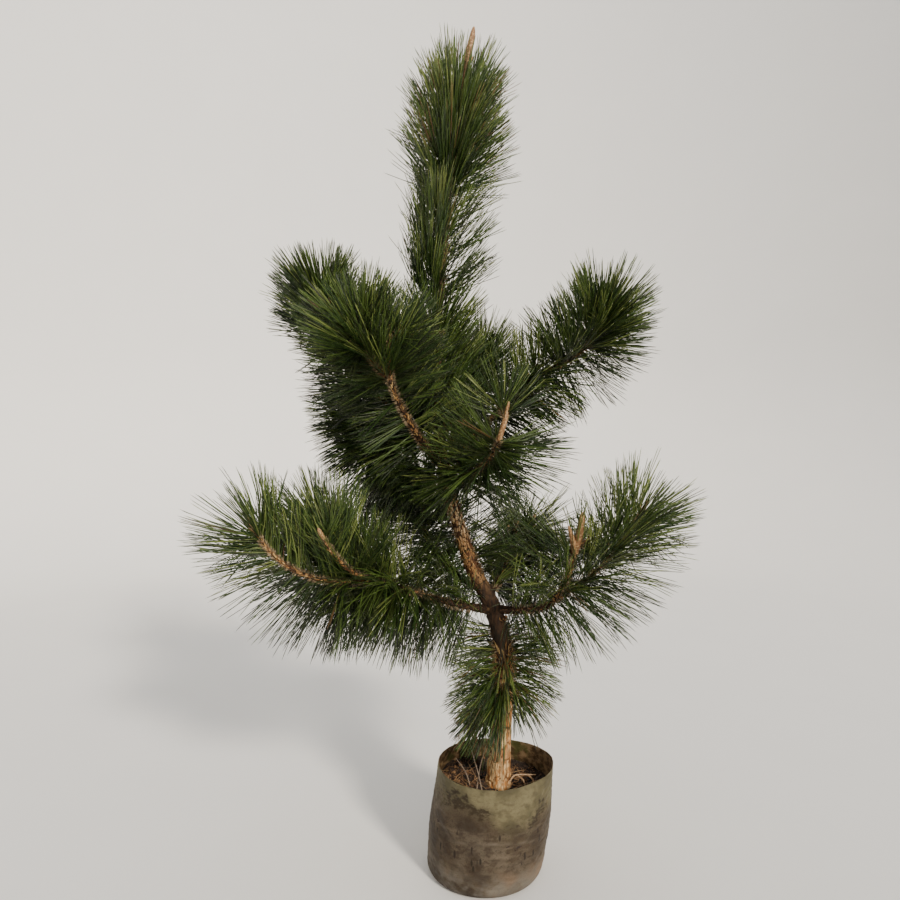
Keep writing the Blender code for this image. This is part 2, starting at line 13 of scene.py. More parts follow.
import bpy
import numpy as np
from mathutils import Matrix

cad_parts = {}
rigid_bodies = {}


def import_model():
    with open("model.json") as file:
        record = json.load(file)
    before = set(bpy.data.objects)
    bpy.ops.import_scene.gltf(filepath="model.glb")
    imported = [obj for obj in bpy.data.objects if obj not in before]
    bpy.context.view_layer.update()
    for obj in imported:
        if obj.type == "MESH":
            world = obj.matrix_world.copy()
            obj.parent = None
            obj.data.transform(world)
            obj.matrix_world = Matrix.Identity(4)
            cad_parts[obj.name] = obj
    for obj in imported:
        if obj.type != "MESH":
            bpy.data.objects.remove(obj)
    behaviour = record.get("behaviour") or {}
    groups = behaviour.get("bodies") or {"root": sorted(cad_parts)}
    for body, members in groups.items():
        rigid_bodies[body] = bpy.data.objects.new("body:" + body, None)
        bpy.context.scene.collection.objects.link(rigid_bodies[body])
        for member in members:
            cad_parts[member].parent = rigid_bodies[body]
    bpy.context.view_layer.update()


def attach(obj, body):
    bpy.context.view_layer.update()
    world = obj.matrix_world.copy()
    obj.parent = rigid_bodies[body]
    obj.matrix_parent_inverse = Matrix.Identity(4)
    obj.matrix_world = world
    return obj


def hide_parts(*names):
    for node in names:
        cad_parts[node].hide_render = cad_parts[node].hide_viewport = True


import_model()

# The camera looks level along +Y from where the photograph was taken
PHOTO_PIXELS = 900
CAMERA_PLACE = (-0.0702, -1.416, 0.868)
FOCAL_PIXELS = 676
SENSOR = 36.0

# Planter bag and soil, as in the solids
BAG_HEIGHT = 0.215
BAG_RADIUS = 0.119
BAG_BELLY = 0.004
BAG_WALL = 0.0013
BAG_CORNER = 0.018
BAG_LEAN = 0.0247
RIM_WAVE = 0.0025
SIDE_WAVE = 0.0022
SOIL_HEIGHT = 0.1685
SOIL_HEAP = 0.014
SOIL_LEVEL_RADIUS = 0.062
SOIL_HEAP_TURN = 0.4

# Trunk stations, as in the solids: height, x, y, radius
TRUNK = np.array([
    (SOIL_HEIGHT, 0.031, 0.000, 0.0290),
    (0.268, 0.035, 0.000, 0.0270),
    (0.372, 0.041, 0.002, 0.0250),
    (0.455, 0.041, 0.005, 0.0235),
    (0.527, 0.023, 0.008, 0.0215),
    (0.620, -0.022, 0.010, 0.0175),
    (0.706, -0.051, 0.012, 0.0150),
    (0.786, -0.072, 0.015, 0.0135),
    (0.864, -0.089, 0.018, 0.0115),
    (0.960, -0.098, 0.020, 0.0100),
    (1.185, -0.094, 0.020, 0.0085),
    (1.404, -0.074, 0.015, 0.0070),
    (1.600, -0.051, 0.005, 0.0058),
    (1.681, -0.036, 0.000, 0.0062),
    (1.755, -0.020, 0.000, 0.0016),
])
SLIMNESS = 0.85
SLIM_BELOW = (0.80, 1.00)
FLARE_WIDTH = 0.0030
FLARE_HEIGHT = 0.022
FLARE_RING = 0.008

# Boughs, as in the solids: height of the foot on the trunk, elbow, tip, radius at foot and tip. The
# needles of a bough go by its name, and its twigs by that name and a number
BOUGHS = {
    "low_left": (0.532, (-0.030, -0.014, 0.540), (-0.095, -0.028, 0.561), 0.0115, 0.0090),
    "low_right": (0.534, (0.080, -0.020, 0.531), (0.132, -0.032, 0.549), 0.0110, 0.0085),
    "low_back": (0.556, (0.020, 0.050, 0.562), (0.045, 0.082, 0.592), 0.0090, 0.0075),
    "back_left": (0.570, (-0.050, 0.060, 0.584), (-0.098, 0.100, 0.632), 0.0085, 0.0072),
    "mid_left": (0.790, (-0.102, 0.022, 0.806), (-0.134, 0.030, 0.828), 0.0080, 0.0068),
    "mid_front": (0.797, (-0.052, -0.040, 0.798), (-0.021, -0.080, 0.826), 0.0085, 0.0070),
    "upper_back": (0.812, (-0.083, 0.060, 0.820), (-0.093, 0.095, 0.862), 0.0075, 0.0065),
    "upper_left": (0.832, (-0.118, -0.050, 0.858), (-0.168, -0.097, 0.957), 0.0100, 0.0078),
    "right": (0.836, (-0.055, 0.024, 0.858), (-0.017, 0.030, 0.896), 0.0090, 0.0078),
    "far_left": (0.858, (-0.120, 0.020, 0.882), (-0.165, 0.020, 0.930), 0.0085, 0.0072),
    "back_right": (0.868, (-0.065, 0.055, 0.885), (-0.045, 0.085, 0.925), 0.0075, 0.0065),
}

# A twig of a mass, as in the solids: parent twig and the place along it, or None where it goes on
# from the bough's tip; elbow and tip; radius at foot and tip; needle step; spread of the needles in
# degrees at foot and tip; the pull that turns them aside; the bare candle at its end
Twig = namedtuple("Twig", "parent elbow tip radii step spread pull candle")

MASSES = {
    "low_left": [
        Twig(None, (-0.170, -0.050, 0.590), (-0.229, -0.060, 0.606), (0.0080, 0.0070), 0.0052, (85, 75),
             (0.0, 0.0, -0.60), 0.004),
        Twig((0, 1.0), (-0.400, -0.092, 0.588), (-0.464, -0.100, 0.738), (0.0068, 0.0040), 0.0045, (80, 32),
             (0.0, 0.0, -0.25), 0.035),
        Twig((0, 0.95), (-0.285, -0.112, 0.630), (-0.320, -0.140, 0.722), (0.0060, 0.0040), 0.0056, (75, 35),
             (0.0, 0.0, -0.10), 0.025),
        Twig((0, 0.55), (-0.300, 0.045, 0.600), (-0.390, 0.085, 0.722), (0.0062, 0.0040), 0.0054, (75, 35),
             (0.0, 0.0, -0.10), 0.025),
    ],
    "low_right": [
        Twig(None, (0.180, -0.042, 0.590), (0.197, -0.054, 0.745), (0.0075, 0.0040), 0.0047, (90, 28),
             (0.0, 0.0, -0.30), 0.060),
        Twig((0, 0.10), (0.268, -0.005, 0.615), (0.346, 0.005, 0.762), (0.0068, 0.0040), 0.0040, (80, 30),
             (0.0, 0.0, -0.20), 0.030),
    ],
    "low_back": [
        Twig(None, (0.068, 0.120, 0.630), (0.062, 0.125, 0.700), (0.0067, 0.0040), 0.0049, (80, 32),
             (0.0, 0.0, -0.15), 0.025),
        Twig((0, 0.15), (0.110, 0.150, 0.625), (0.130, 0.170, 0.722), (0.0064, 0.0040), 0.0049, (75, 32),
             (0.0, 0.0, -0.15), 0.025),
    ],
    "back_left": [
        Twig(None, (-0.150, 0.135, 0.690), (-0.172, 0.150, 0.800), (0.0064, 0.0040), 0.0038, (85, 35),
             (0.0, 0.0, -0.15), 0.025),
    ],
    "mid_front": [
        Twig(None, (0.024, -0.130, 0.850), (0.042, -0.130, 0.962), (0.0062, 0.0040), 0.0026, (95, 32),
             (0.0, 0.0, -0.15), 0.050),
    ],
    "mid_left": [
        Twig(None, (-0.245, 0.068, 0.870), (-0.272, 0.080, 0.978), (0.0060, 0.0040), 0.0032, (85, 32),
             (0.0, 0.0, -0.25), 0.030),
    ],
    "upper_left": [
        Twig(None, (-0.196, -0.118, 1.000), (-0.184, -0.132, 1.110), (0.0070, 0.0040), 0.0034, (80, 32),
             (0.0, 0.0, -0.10), 0.025),
        Twig((0, 0.30), (-0.235, -0.128, 1.040), (-0.255, -0.134, 1.135), (0.0062, 0.0040), 0.0032, (75, 34),
             (0.0, 0.0, -0.05), 0.025),
    ],
    "far_left": [
        Twig(None, (-0.330, 0.026, 1.068), (-0.350, 0.030, 1.215), (0.0064, 0.0042), 0.0035, (80, 38),
             (0.0, 0.0, 0.0), 0.014),
    ],
    "right": [
        Twig(None, (0.070, 0.038, 1.010), (0.150, 0.040, 1.043), (0.0070, 0.0060), 0.0058, (80, 65),
             (0.0, 0.0, -0.15), 0.004),
        Twig((0, 1.0), (0.250, 0.042, 1.082), (0.268, 0.042, 1.186), (0.0060, 0.0042), 0.0025, (98, 38),
             (0.0, 0.0, 0.0), 0.012),
    ],
    "upper_back": [
        Twig(None, (-0.100, 0.150, 0.900), (-0.108, 0.190, 1.030), (0.0057, 0.0040), 0.0035, (80, 34),
             (0.0, 0.0, -0.15), 0.020),
    ],
    "back_right": [
        Twig(None, (-0.010, 0.130, 0.980), (-0.004, 0.150, 1.100), (0.0057, 0.0040), 0.0035, (80, 34),
             (0.0, 0.0, -0.05), 0.020),
    ],
}

# A sleeve of needles on the trunk, on the stretch it has in the solids: lowest and highest point,
# then as a twig, and the needles' length
Sleeve = namedtuple("Sleeve", "low high step spread pull length")

SLEEVES = {
    "trunk_skirt": Sleeve(0.340, 0.506, 0.0022, (95, 72), (0.0, 0.0, -0.42), 0.122),
    "trunk_middle": Sleeve(0.594, 0.772, 0.0026, (80, 70), (0.0, 0.0, -0.15), 0.125),
    "leader_low": Sleeve(0.894, 1.146, 0.0029, (60, 50), (0.30, 0.0, 0.30), 0.140),
    "leader_middle": Sleeve(1.150, 1.392, 0.0032, (52, 48), (0.32, 0.0, 0.25), 0.145),
    "leader_top": Sleeve(1.396, 1.628, 0.0026, (62, 32), (0.05, 0.0, 0.05), 0.142),
}

# Needles that hang lower round the trunk's foot, among those of the skirt, and the tuft that rises
# round the candle at the top
LOW_SKIRT = Sleeve(0.300, 0.395, 0.0014, (122, 92), (-0.08, 0.0, -0.42), 0.118)
TOP_TUFT = Sleeve(1.560, 1.638, 0.0105, (36, 15), (-0.06, 0.0, 0.05), 0.120)

# Twigs that have shed needles on a side: between which shares of their length, the side, and how
# far the bare part reaches round, from 1 for nothing to -1 for all round
FRONT = (0.0, -1.0, 0.0)
LEFT = (-1.0, 0.0, 0.0)
RIGHT = (1.0, 0.0, 0.0)
UP = (0.0, 0.0, 1.0)
UNDER = (0.0, 0.0, -1.0)
SHED = {
    "low_left.1": [(0.25, 0.82, FRONT, 0.35)],
    "low_left.2": [(0.0, 1.0, FRONT, 0.42), (0.0, 1.0, (-0.5, 0.0, -0.8), 0.50)],
    "low_right.0": [(0.35, 1.0, FRONT, 0.05), (0.60, 1.0, FRONT, -0.25)],
    "mid_front.0": [(0.0, 1.0, (-0.7, 0.0, -0.7), 0.80), (0.78, 1.0, FRONT, 0.10)],
    "leader_top": [(0.72, 1.0, FRONT, 0.30)],
    "far_left.0": [(0.38, 0.70, (-0.75, 0.0, -0.66), 0.45)],
    "upper_left.0": [(0.0, 1.0, FRONT, 0.75)],
    "trunk_middle": [(0.0, 1.0, FRONT, 0.75), (0.36, 1.0, FRONT, 0.05)],
    "trunk_skirt": [(0.64, 1.0, FRONT, 0.78)],
    "low_skirt": [(0.0, 1.0, (0.94, -0.34, 0.0), 0.45)],
    "low_left": [(0.0, 1.0, FRONT, 0.80)],
    "upper_left": [(0.0, 1.0, FRONT, 0.45)],
    "mid_front": [(0.0, 1.0, UNDER, 0.70)],
}

# Sides on which a twig's needles stand thinner: the way they point, how nearly, and the share kept
SPARSE = {
    "leader_middle": [(RIGHT, 0.25, 0.34)],
    "leader_low": [(RIGHT, 0.12, 0.75)],
    "right.0": [(UP, 0.45, 0.65)],
    "right.1": [(UNDER, 0.10, 0.50), (UNDER, 0.55, 0.30), (LEFT, 0.40, 0.60)],
    "low_back.0": [(UP, 0.10, 0.35)],
    "low_back.1": [(UP, 0.10, 0.35)],
    "low_right.1": [(UNDER, 0.10, 0.60)],
    "mid_front.0": [(UNDER, 0.45, 0.60)],
    "far_left.0": [(UNDER, 0.10, 0.65)],
    "mid_left.0": [(UP, 0.30, 0.70)],
    "trunk_middle": [(RIGHT, 0.10, 0.35)],
    "trunk_skirt": [(FRONT, 0.30, 0.75)],
}

# Masses whose needles are pulled down harder than in the solids
HANGING = {"low_back": (0.0, 0.0, -0.55), "mid_left": (-0.10, 0.0, -0.72)}

# The golden angle rule, as in the solids
GOLDEN_ANGLE = math.pi * (3.0 - math.sqrt(5.0))
NEEDLE_LENGTH = 0.140
FIRST_NEEDLE = 0.008
SLEEVE_MARGIN = 0.008
PULL_FADE = 0.6
TURN_REFERENCE = (0.31, -0.93, 0.20)
HEADING_STATIONS = 48
TIP_SHORTENING = 0.12
SPACE_OVERLAP = 0.05
SPACE_STATIONS = 12

# The rule carried finer: pairs of needles for each needle of the solids, and how it is loosened
FINER = 9.2
FULLER = {"trunk_skirt": 0.9, "trunk_middle": 2.0, "low_back": 1.5,
          "back_left": 1.6, "mid_front": 1.3, "leader_top": 1.2,
          "leader_low": 1.0, "leader_middle": 1.1, "low_left": 1.5,
          "mid_left": 1.8, "upper_back": 1.5, "back_right": 1.2,
          "far_left": 2.1, "right": 1.2, "low_right": 0.8}
LONGER = {"low_right": 1.10, "low_left": 1.10, "trunk_skirt": 1.02,
          "mid_front": 1.10, "leader_top": 1.04}
TURN_LUCK = 0.7
LEAN_LUCK = 6.0
STRAYING = 3.5
LOOSER = {"trunk_skirt": 2.2}
LOCK_SIZE = 0.015
LOCK_GIRTH = 0.020
LOCK_LEAN = 8.0
LOCK_TURN = 0.22
LOCK_SEEDS = (7000, 9000)
LENGTH_LUCK = 0.10
PAIR_ANGLE = math.radians(5.5)
PAIR_LUCK = (0.7, 0.5)
PAIR_ELBOW = 0.2
NEEDLE_HALF_WIDTH = 0.00086
NEEDLE_STATIONS = np.array([0.0, 0.30, 0.63, 0.94])
NEEDLE_TAPER = np.array([0.80, 1.0, 1.0, 0.80])

# How a needle stands: its foot's depth as a share of the bark's radius, the length of its root, how
# far along its elbow lies, how far it drifts aside, how much it starts outward, and the stretch next
# to the bark where it may pass close to other limbs
NEEDLE_DEPTH = 0.9
NEEDLE_ROOT = 0.001
NEEDLE_ELBOW = 0.42
NEEDLE_DRIFT = 0.03
START_OUTWARD = 0.35
CLEAR_OF_BARK = 0.012


def smooth(at, knots, values):
    """Cubic Hermite pieces through the values, whose slopes are the gradient at each knot."""
    slopes = np.gradient(values, knots)
    piece = np.clip(np.searchsorted(knots, at) - 1, 0, len(knots) - 2)
    width = knots[piece + 1] - knots[piece]
    t = (at - knots[piece]) / width
    rise = t * t * (3.0 - 2.0 * t)
    lead = t * (1.0 - t) ** 2 * width * slopes[piece]
    trail = t * t * (1.0 - t) * width * slopes[piece + 1]
    return values[piece] * (1.0 - rise) + values[piece + 1] * rise + lead - trail


def follow(at, knots, values, rule=np.interp):
    """Rows of values read between their knots by a rule, column by column."""
    return np.stack([rule(at, knots, column) for column in values.T], axis=1)


def points_at(x, y, z):
    """Points from their coordinates."""
    return np.stack(np.broadcast_arrays(x, y, z), axis=-1)


def bezier(foot, elbow, tip, t):
    """The quadratic Bezier curve from foot to tip that the elbow pulls, at each t from 0 to 1."""
    return (1.0 - t) ** 2 * foot + 2.0 * t * (1.0 - t) * elbow + t * t * tip


def bend(foot, elbow, tip, count):
    """So many points on one such curve."""
    return bezier(foot, elbow, tip, np.linspace(0.0, 1.0, count)[:, None])


def unit(vectors):
    """Vectors scaled to length one."""
    return vectors / np.linalg.norm(vectors, axis=-1, keepdims=True)


def turned(angle, first, second):
    """Directions turned by an angle from the first towards the second: its cosine along the one
    and its sine along the other."""
    angle = np.asarray(angle)[..., None]
    return np.cos(angle) * first + np.sin(angle) * second


def across(heading, reference):
    """Two directions square to a heading and to each other, the first of them to a reference too."""
    first = unit(np.cross(heading, reference))
    return first, np.cross(heading, first)


def full_turn(sides):
    """The angles of so many sides."""
    return np.arange(sides) * 2.0 * math.pi / sides


def along(points):
    """Length from the first point to each point of a line."""
    steps = np.linalg.norm(np.diff(points, axis=0), axis=1)
    return np.concatenate([[0.0], np.cumsum(steps)])


def resample(points, places):
    """Points at the given lengths along a line of points."""
    return follow(places, along(points), points)


def cross_axes(points):
    """The heading along a line of points, and two directions across it that keep steady.

    They are measured from the axis that the line keeps furthest from.
    """
    ahead = unit(np.gradient(points, axis=0))
    furthest = np.eye(3)[np.argmin(np.abs(ahead).max(axis=0))]
    return ahead, *across(ahead, furthest)


def smoothstep(value, low=0.0, high=1.0):
    """Rises from 0 at low to 1 at high with level ends."""
    t = np.clip((value - low) / (high - low), 0.0, 1.0)
    return t * t * (3.0 - 2.0 * t)


def ripple(points, size, seed, waves=20):
    """A random field with hills about one size apart: a sum of plane waves in random directions."""
    dice = np.random.default_rng(seed)
    heading = unit(dice.normal(size=(waves, 3))) * dice.uniform(0.6, 1.5, (waves, 1))
    phase = dice.uniform(0.0, 2.0 * math.pi, waves)
    field = np.zeros(points.shape[:-1])
    for way, start in zip(heading, phase):
        field += np.cos(points @ (way * math.pi / size) + start)
    return field / math.sqrt(waves)


def trunk_centre(heights):
    """Points on the trunk's axis, whose foot stands upright."""
    heights = np.atleast_1d(heights)
    above_foot = np.maximum(heights, TRUNK[0, 0] + FLARE_RING)
    return np.column_stack([follow(above_foot, TRUNK[:, 0], TRUNK[:, 1:3], smooth), heights])


def trunk_radius(heights):
    """The trunk's taper, slimmer below the crown, with a root flare that dies away up the stem."""
    heights = np.atleast_1d(heights)
    flare = FLARE_WIDTH * np.exp((TRUNK[0, 0] - heights) / FLARE_HEIGHT)
    slim = SLIMNESS + (1.0 - SLIMNESS) * smoothstep(heights, *SLIM_BELOW)
    return np.interp(heights, TRUNK[:, 0], TRUNK[:, 3]) * slim + flare


def ring_faces(rings, corners):
    """Faces of a closed skin: quads between its rings, and fans to the poles at its two ends.

    The rings' points come first, ring by ring, and the poles of the first and last ring follow.
    """
    start = np.arange(rings - 1)[:, None] * corners
    corner = np.arange(corners)
    following = (corner + 1) % corners
    quads = np.stack([start + corner, start + following, start + corners + following,
                      start + corners + corner], axis=-1).reshape(-1, 4)
    last = (rings - 1) * corners
    first_pole = np.full(corners, rings * corners)
    foot = np.stack([following, corner, first_pole], axis=-1)
    tip = np.stack([last + corner, last + following, first_pole + 1], axis=-1)
    return [quads, foot, tip]


def stand(name, data):
    """A new object of that data in the scene."""
    thing = bpy.data.objects.new(name, data)
    bpy.context.scene.collection.objects.link(thing)
    return thing


class Pile:
    """Surfaces gathered as arrays, to be made one mesh."""

    def __init__(self):
        self.points = []
        self.faces = []
        self.tones = []
        self.marks = {}
        self.count = 0

    def add(self, points, faces, tones=(0, 0, 0), **marks):
        """Adds points, groups of faces that count from the first of them, and each group's tones."""
        for group, tone in zip(faces, tones):
            self.faces.append(group + self.count)
            self.tones.append(np.broadcast_to(tone, len(group)))
        for name, values in marks.items():
            self.marks.setdefault(name, []).append(values)
        self.points.append(points.reshape(-1, 3))
        self.count += len(self.points[-1])

    def add_skin(self, grid, poles, **marks):
        """Adds a closed skin: rings of points, its two poles, and what each point is marked with."""
        marks = {name: np.append(values, [values[0].mean(), values[-1].mean()])
                 for name, values in marks.items()}
        self.add(np.concatenate([grid.reshape(-1, 3), poles]), ring_faces(*grid.shape[:2]), **marks)

    def add_rods(self, centres, sides, widths, corners, ends, tones=0, last=None):
        """Adds many rods, each with its own tone, and another for its last band and tip if given.

        Round each centre stand corners at its width, from the first direction across the rod
        towards the second. The two ends are poles.
        """
        first, second = (way[:, None, None] for way in sides)
        foot, tip = ends
        count, rings, _ = centres.shape
        widths = np.broadcast_to(widths, (count, rings))[..., None, None]
        skins = centres[:, :, None] + widths * turned(full_turn(corners), first, second)
        points = np.concatenate([skins.reshape(count, -1, 3), foot[:, None], tip[:, None]], axis=1)
        start = np.arange(count)[:, None, None] * points.shape[1]
        faces = [(start + group).reshape(-1, group.shape[1]) for group in ring_faces(rings, corners)]
        tones = np.broadcast_to(tones, count)
        last = tones if last is None else last
        bands = np.repeat(tones[:, None], rings - 1, axis=1)
        bands[:, -1] = last
        self.add(points, faces, [np.repeat(group, corners) for group in (bands, tones, last)])

    def make(self, name, finishes):
        """One mesh object from all that was added, with a material for each tone."""
        mesh = bpy.data.meshes.new(name)
        sizes = np.concatenate([np.full(len(group), group.shape[1]) for group in self.faces])
        corners = np.concatenate([group.ravel() for group in self.faces])
        mesh.vertices.add(self.count)
        mesh.vertices.foreach_set("co", np.concatenate(self.points).ravel())
        mesh.loops.add(len(corners))
        mesh.loops.foreach_set("vertex_index", corners.astype(np.int32))
        mesh.polygons.add(len(sizes))
        mesh.polygons.foreach_set("loop_start", (np.cumsum(sizes) - sizes).astype(np.int32))
        mesh.polygons.foreach_set("material_index", np.concatenate(self.tones).astype(np.int32))
        mesh.polygons.foreach_set("use_smooth", np.ones(len(sizes), bool))
        for mark, values in self.marks.items():
            mesh.attributes.new(mark, "FLOAT", "POINT").data.foreach_set("value", np.concatenate(values))
        for finish in finishes:
            mesh.materials.append(finish)
        mesh.update(calc_edges=True)
        mesh.validate()
        return stand(name, mesh)


# Bark: plates on the lower trunk, and scales set by the golden angle on younger wood
END_CROWN = 0.35
PLATE_COUNT = 13
PLATE_HEIGHT = 0.034
PLATE_STRETCH = 0.36
PLATE_LUCK = 0.4
FLAKE_COUNT = 22
FLAKE_HEIGHT = 0.017
FISSURE_WIDTH = 0.0026
FISSURE_DEPTH = 0.0017
FLAKE_DEPTH = 0.0013
RAGGED = 0.0030
RAGGED_SIZE = 0.010
SCALY_FROM = 0.62
SCALY_BLEND = 0.04
ROOT_LOBES = 3
LOBE_TURN = 0.6
LOBE_DEPTH = 0.0025
SCALE_STEP = 0.0013
SCALE_HALF_WIDTH = 0.0031
SCALE_LENGTH = 0.0085
SCALE_DEPTH = 0.0012
SCALE_STRAY = (0.0012, 0.0016)
SCALE_STRAY_SIZE = 0.004
CROWN_FLAKE_COUNT = 21
CROWN_FLAKE_HEIGHT = 0.0085
CROWN_GAP = 0.0014
# Painted shade up the leader, inside its needles: how far its bark's young mark is lowered, between which
# heights, and from which height it takes darker loose scales
LEADER_PAINTED_SHADE = 0.7
PAINTED_SHADE_ABOVE = (0.86, 0.95)
# Painted shade under the crown: the lowest boughs take mostly old, dark bark and darker loose scales
PAINTED_SHADE_BOUGHS = ("low_left", "low_right", "low_back", "back_left")
PAINTED_SHADE_BOUGH_YOUTH = 0.15
COLLAR_SWELL = 0.45
COLLAR_LENGTH = 0.014


def plates(turn, height, radius, around, tall, seed):
    """Cells of a jittered grid wrapped round a limb.

    Gives how much nearer each point is to its own cell's middle than to the next one, and the
    luck of its cell from 0 to 1.
    """
    dice = np.random.default_rng(seed)
    skin = points_at(np.cos(turn) * radius, np.sin(turn) * radius, height * 0.6)
    turn = turn + RAGGED * ripple(skin, RAGGED_SIZE, seed + 50) / radius
    height = height + RAGGED * ripple(skin, RAGGED_SIZE * 0.6, seed + 51)
    rows = int(height.max() / tall) + 3
    jitter = dice.uniform(-PLATE_LUCK, PLATE_LUCK, (around, rows, 2))
    luck = dice.uniform(0.0, 1.0, (around, rows))
    column = turn / (2.0 * math.pi) * around
    row = height / tall
    nearest = np.full(turn.shape, 1.0)
    second = np.full(turn.shape, 1.0)
    mine = np.zeros(turn.shape)
    for i in (-1, 0, 1):
        for j in (-1, 0, 1):
            c = np.floor(column) + i
            r = np.floor(row) + j
            cell = (c.astype(int) % around, r.astype(int) % rows)
            beside = (column - c - 0.5 - jitter[cell][..., 0]) * 2.0 * math.pi * radius / around
            up = (row - r - 0.5 - jitter[cell][..., 1]) * tall * PLATE_STRETCH
            distance = np.hypot(beside, up)
            closer = distance < nearest
            second = np.where(closer, nearest, np.minimum(second, distance))
            mine = np.where(closer, luck[cell], mine)
            nearest = np.minimum(nearest, distance)
    return second - nearest, mine


def scales(turn, length, radius, depth):
    """Overlapping scales set round a limb by the golden angle.

    Each is a round shouldered ramp that rises towards its free end and drops there, with a chance
    of its own from the broken part of a large sine. Gives the relief, its share of the depth, and
    the luck of the topmost scale from 0 to 1.
    """
    height = np.zeros(turn.shape)
    luck = np.zeros(turn.shape)
    skin = points_at(np.cos(turn) * radius, np.sin(turn) * radius, length)
    turn = turn + SCALE_STRAY[0] * ripple(skin, SCALE_STRAY_SIZE, seed=61) / radius
    length = length + SCALE_STRAY[1] * ripple(skin, SCALE_STRAY_SIZE, seed=62)
    foot = np.floor(length / SCALE_STEP)
    for back in range(int(SCALE_LENGTH / SCALE_STEP) + 1):
        number = foot - back
        chance = (np.sin(number * 12.9898) * 43758.547) % 1.0
        apart = (turn - number * GOLDEN_ANGLE - chance + math.pi) % (2.0 * math.pi) - math.pi
        beside = apart * radius / (SCALE_HALF_WIDTH * (0.6 + 0.7 * chance))
        ramp = (length - number * SCALE_STEP) / (SCALE_LENGTH * (1.0 - 0.5 * (chance * 7.0 % 1.0)))
        rise = np.where(ramp < 1.0, ramp, 0.0) * np.sqrt(np.clip(1.0 - beside * beside, 0.0, 1.0))
        rise = rise * (0.55 + 0.45 * (chance * 13.0 % 1.0))
        luck = np.where(rise > height, chance, luck)
        height = np.maximum(height, rise)
    return height * depth, height, luck


def scaly_dress(youth):
    """A bark of scales alone, on wood from 0, old, to 1, young."""

    def dress(turn, length, radius):
        relief, height, luck = scales(turn, length, radius, SCALE_DEPTH)
        return relief, {"height": height, "luck": luck, "young": np.full(turn.shape, youth)}

    return dress


def trunk_dress(turn, length, radius):
    """Trunk bark: deep plates with thin flakes on them, which give way to long thin flakes up the
    stem, and lobes where the roots begin. Up the leader the young mark is lowered, so that the bark
    there takes the darker old tones: painted shade inside the leader's needles."""
    height = length + TRUNK[0, 0]
    edge, plate_luck = plates(turn, length, radius, PLATE_COUNT, PLATE_HEIGHT, seed=3)
    flake_edge, flake_luck = plates(turn, length, radius, FLAKE_COUNT, FLAKE_HEIGHT, seed=5)
    crown_edge, crown_luck = plates(turn, length, radius, CROWN_FLAKE_COUNT, CROWN_FLAKE_HEIGHT, seed=9)
    plate = smoothstep(edge, 0.0, FISSURE_WIDTH)
    flake = smoothstep(flake_edge, 0.0, FISSURE_WIDTH / 3.0) * flake_luck
    crown = smoothstep(crown_edge, 0.0, CROWN_GAP)
    young = smoothstep(height, SCALY_FROM - SCALY_BLEND, SCALY_FROM + SCALY_BLEND)
    old = FISSURE_DEPTH * (plate - 1.0) + FLAKE_DEPTH * (plate_luck + flake - 1.0) * plate
    relief = SCALE_DEPTH * crown * (0.4 + 0.6 * crown_luck) * young
    relief = relief + old * radius / TRUNK[0, 3] * (1.0 - young)
    relief = relief + LOBE_DEPTH * np.cos(ROOT_LOBES * turn + LOBE_TURN) * np.exp(-length / FLARE_HEIGHT)
    clear_of_painted_shade = 1.0 - LEADER_PAINTED_SHADE * smoothstep(height, *PAINTED_SHADE_ABOVE)
    return relief, {"height": crown * young + plate * (0.6 + 0.4 * flake) * (1.0 - young),
                    "luck": crown_luck * young + (0.5 * plate_luck + 0.5 * flake_luck) * (1.0 - young),
                    "young": young * clear_of_painted_shade}


def bare_dress(turn, length, radius):
    """Bare wood: no relief."""
    return np.zeros(turn.shape), {}


def add_limb(pile, points, radii, sides, dress):
    """The skin of a limb: rings round its line at its radius plus the relief that its dress gives."""
    ahead, aside, above = cross_axes(points)
    turn = full_turn(sides)
    around = turned(turn, aside[:, None], above[:, None])
    turn, length = np.meshgrid(turn, along(points))
    radius = np.broadcast_to(radii[:, None], length.shape)
    relief, marks = dress(turn, length, radius)
    poles = np.stack([points[0] - ahead[0] * radii[0] * END_CROWN,
                      points[-1] + ahead[-1] * radii[-1] * END_CROWN])
    pile.add_skin(points[:, None] + (radius + relief)[..., None] * around, poles, **marks)


# Rows and sides of the limbs' skins
CURVE_POINTS = 200
TRUNK_SUNK = 0.012
TRUNK_ROW = 0.0016
TRUNK_ROWS_TO = 0.84
LEADER_ROW = 0.0028
TRUNK_SIDES = 72
BOUGH_ROW = 0.0014
BOUGH_SIDES = 26
BOUGH_STARTS_AT = 0.6
BOUGH_SLIMNESS = (0.76, 0.58)
TWIG_ROW = 0.0020
TWIG_SIDES = 14
TWIG_SLIMNESS = 0.54
TWIG_COLLAR = 0.03
TWIG_FOOT_POINT = -3
TWIG_ON_BOUGH = 1.01
TWIG_ON_TWIG = 0.95
BONES = 9
TRUNK_BONES = 27

Limb = namedtuple("Limb", "points radii")


def grow(foot, elbow, tip, start, row):
    """A limb's close points along its curve from a start, their lengths along it, and its length."""
    points = bend(foot, elbow, tip, CURVE_POINTS)
    length = along(points)[-1]
    places = np.arange(start, length, row)
    return resample(points, places), places, length


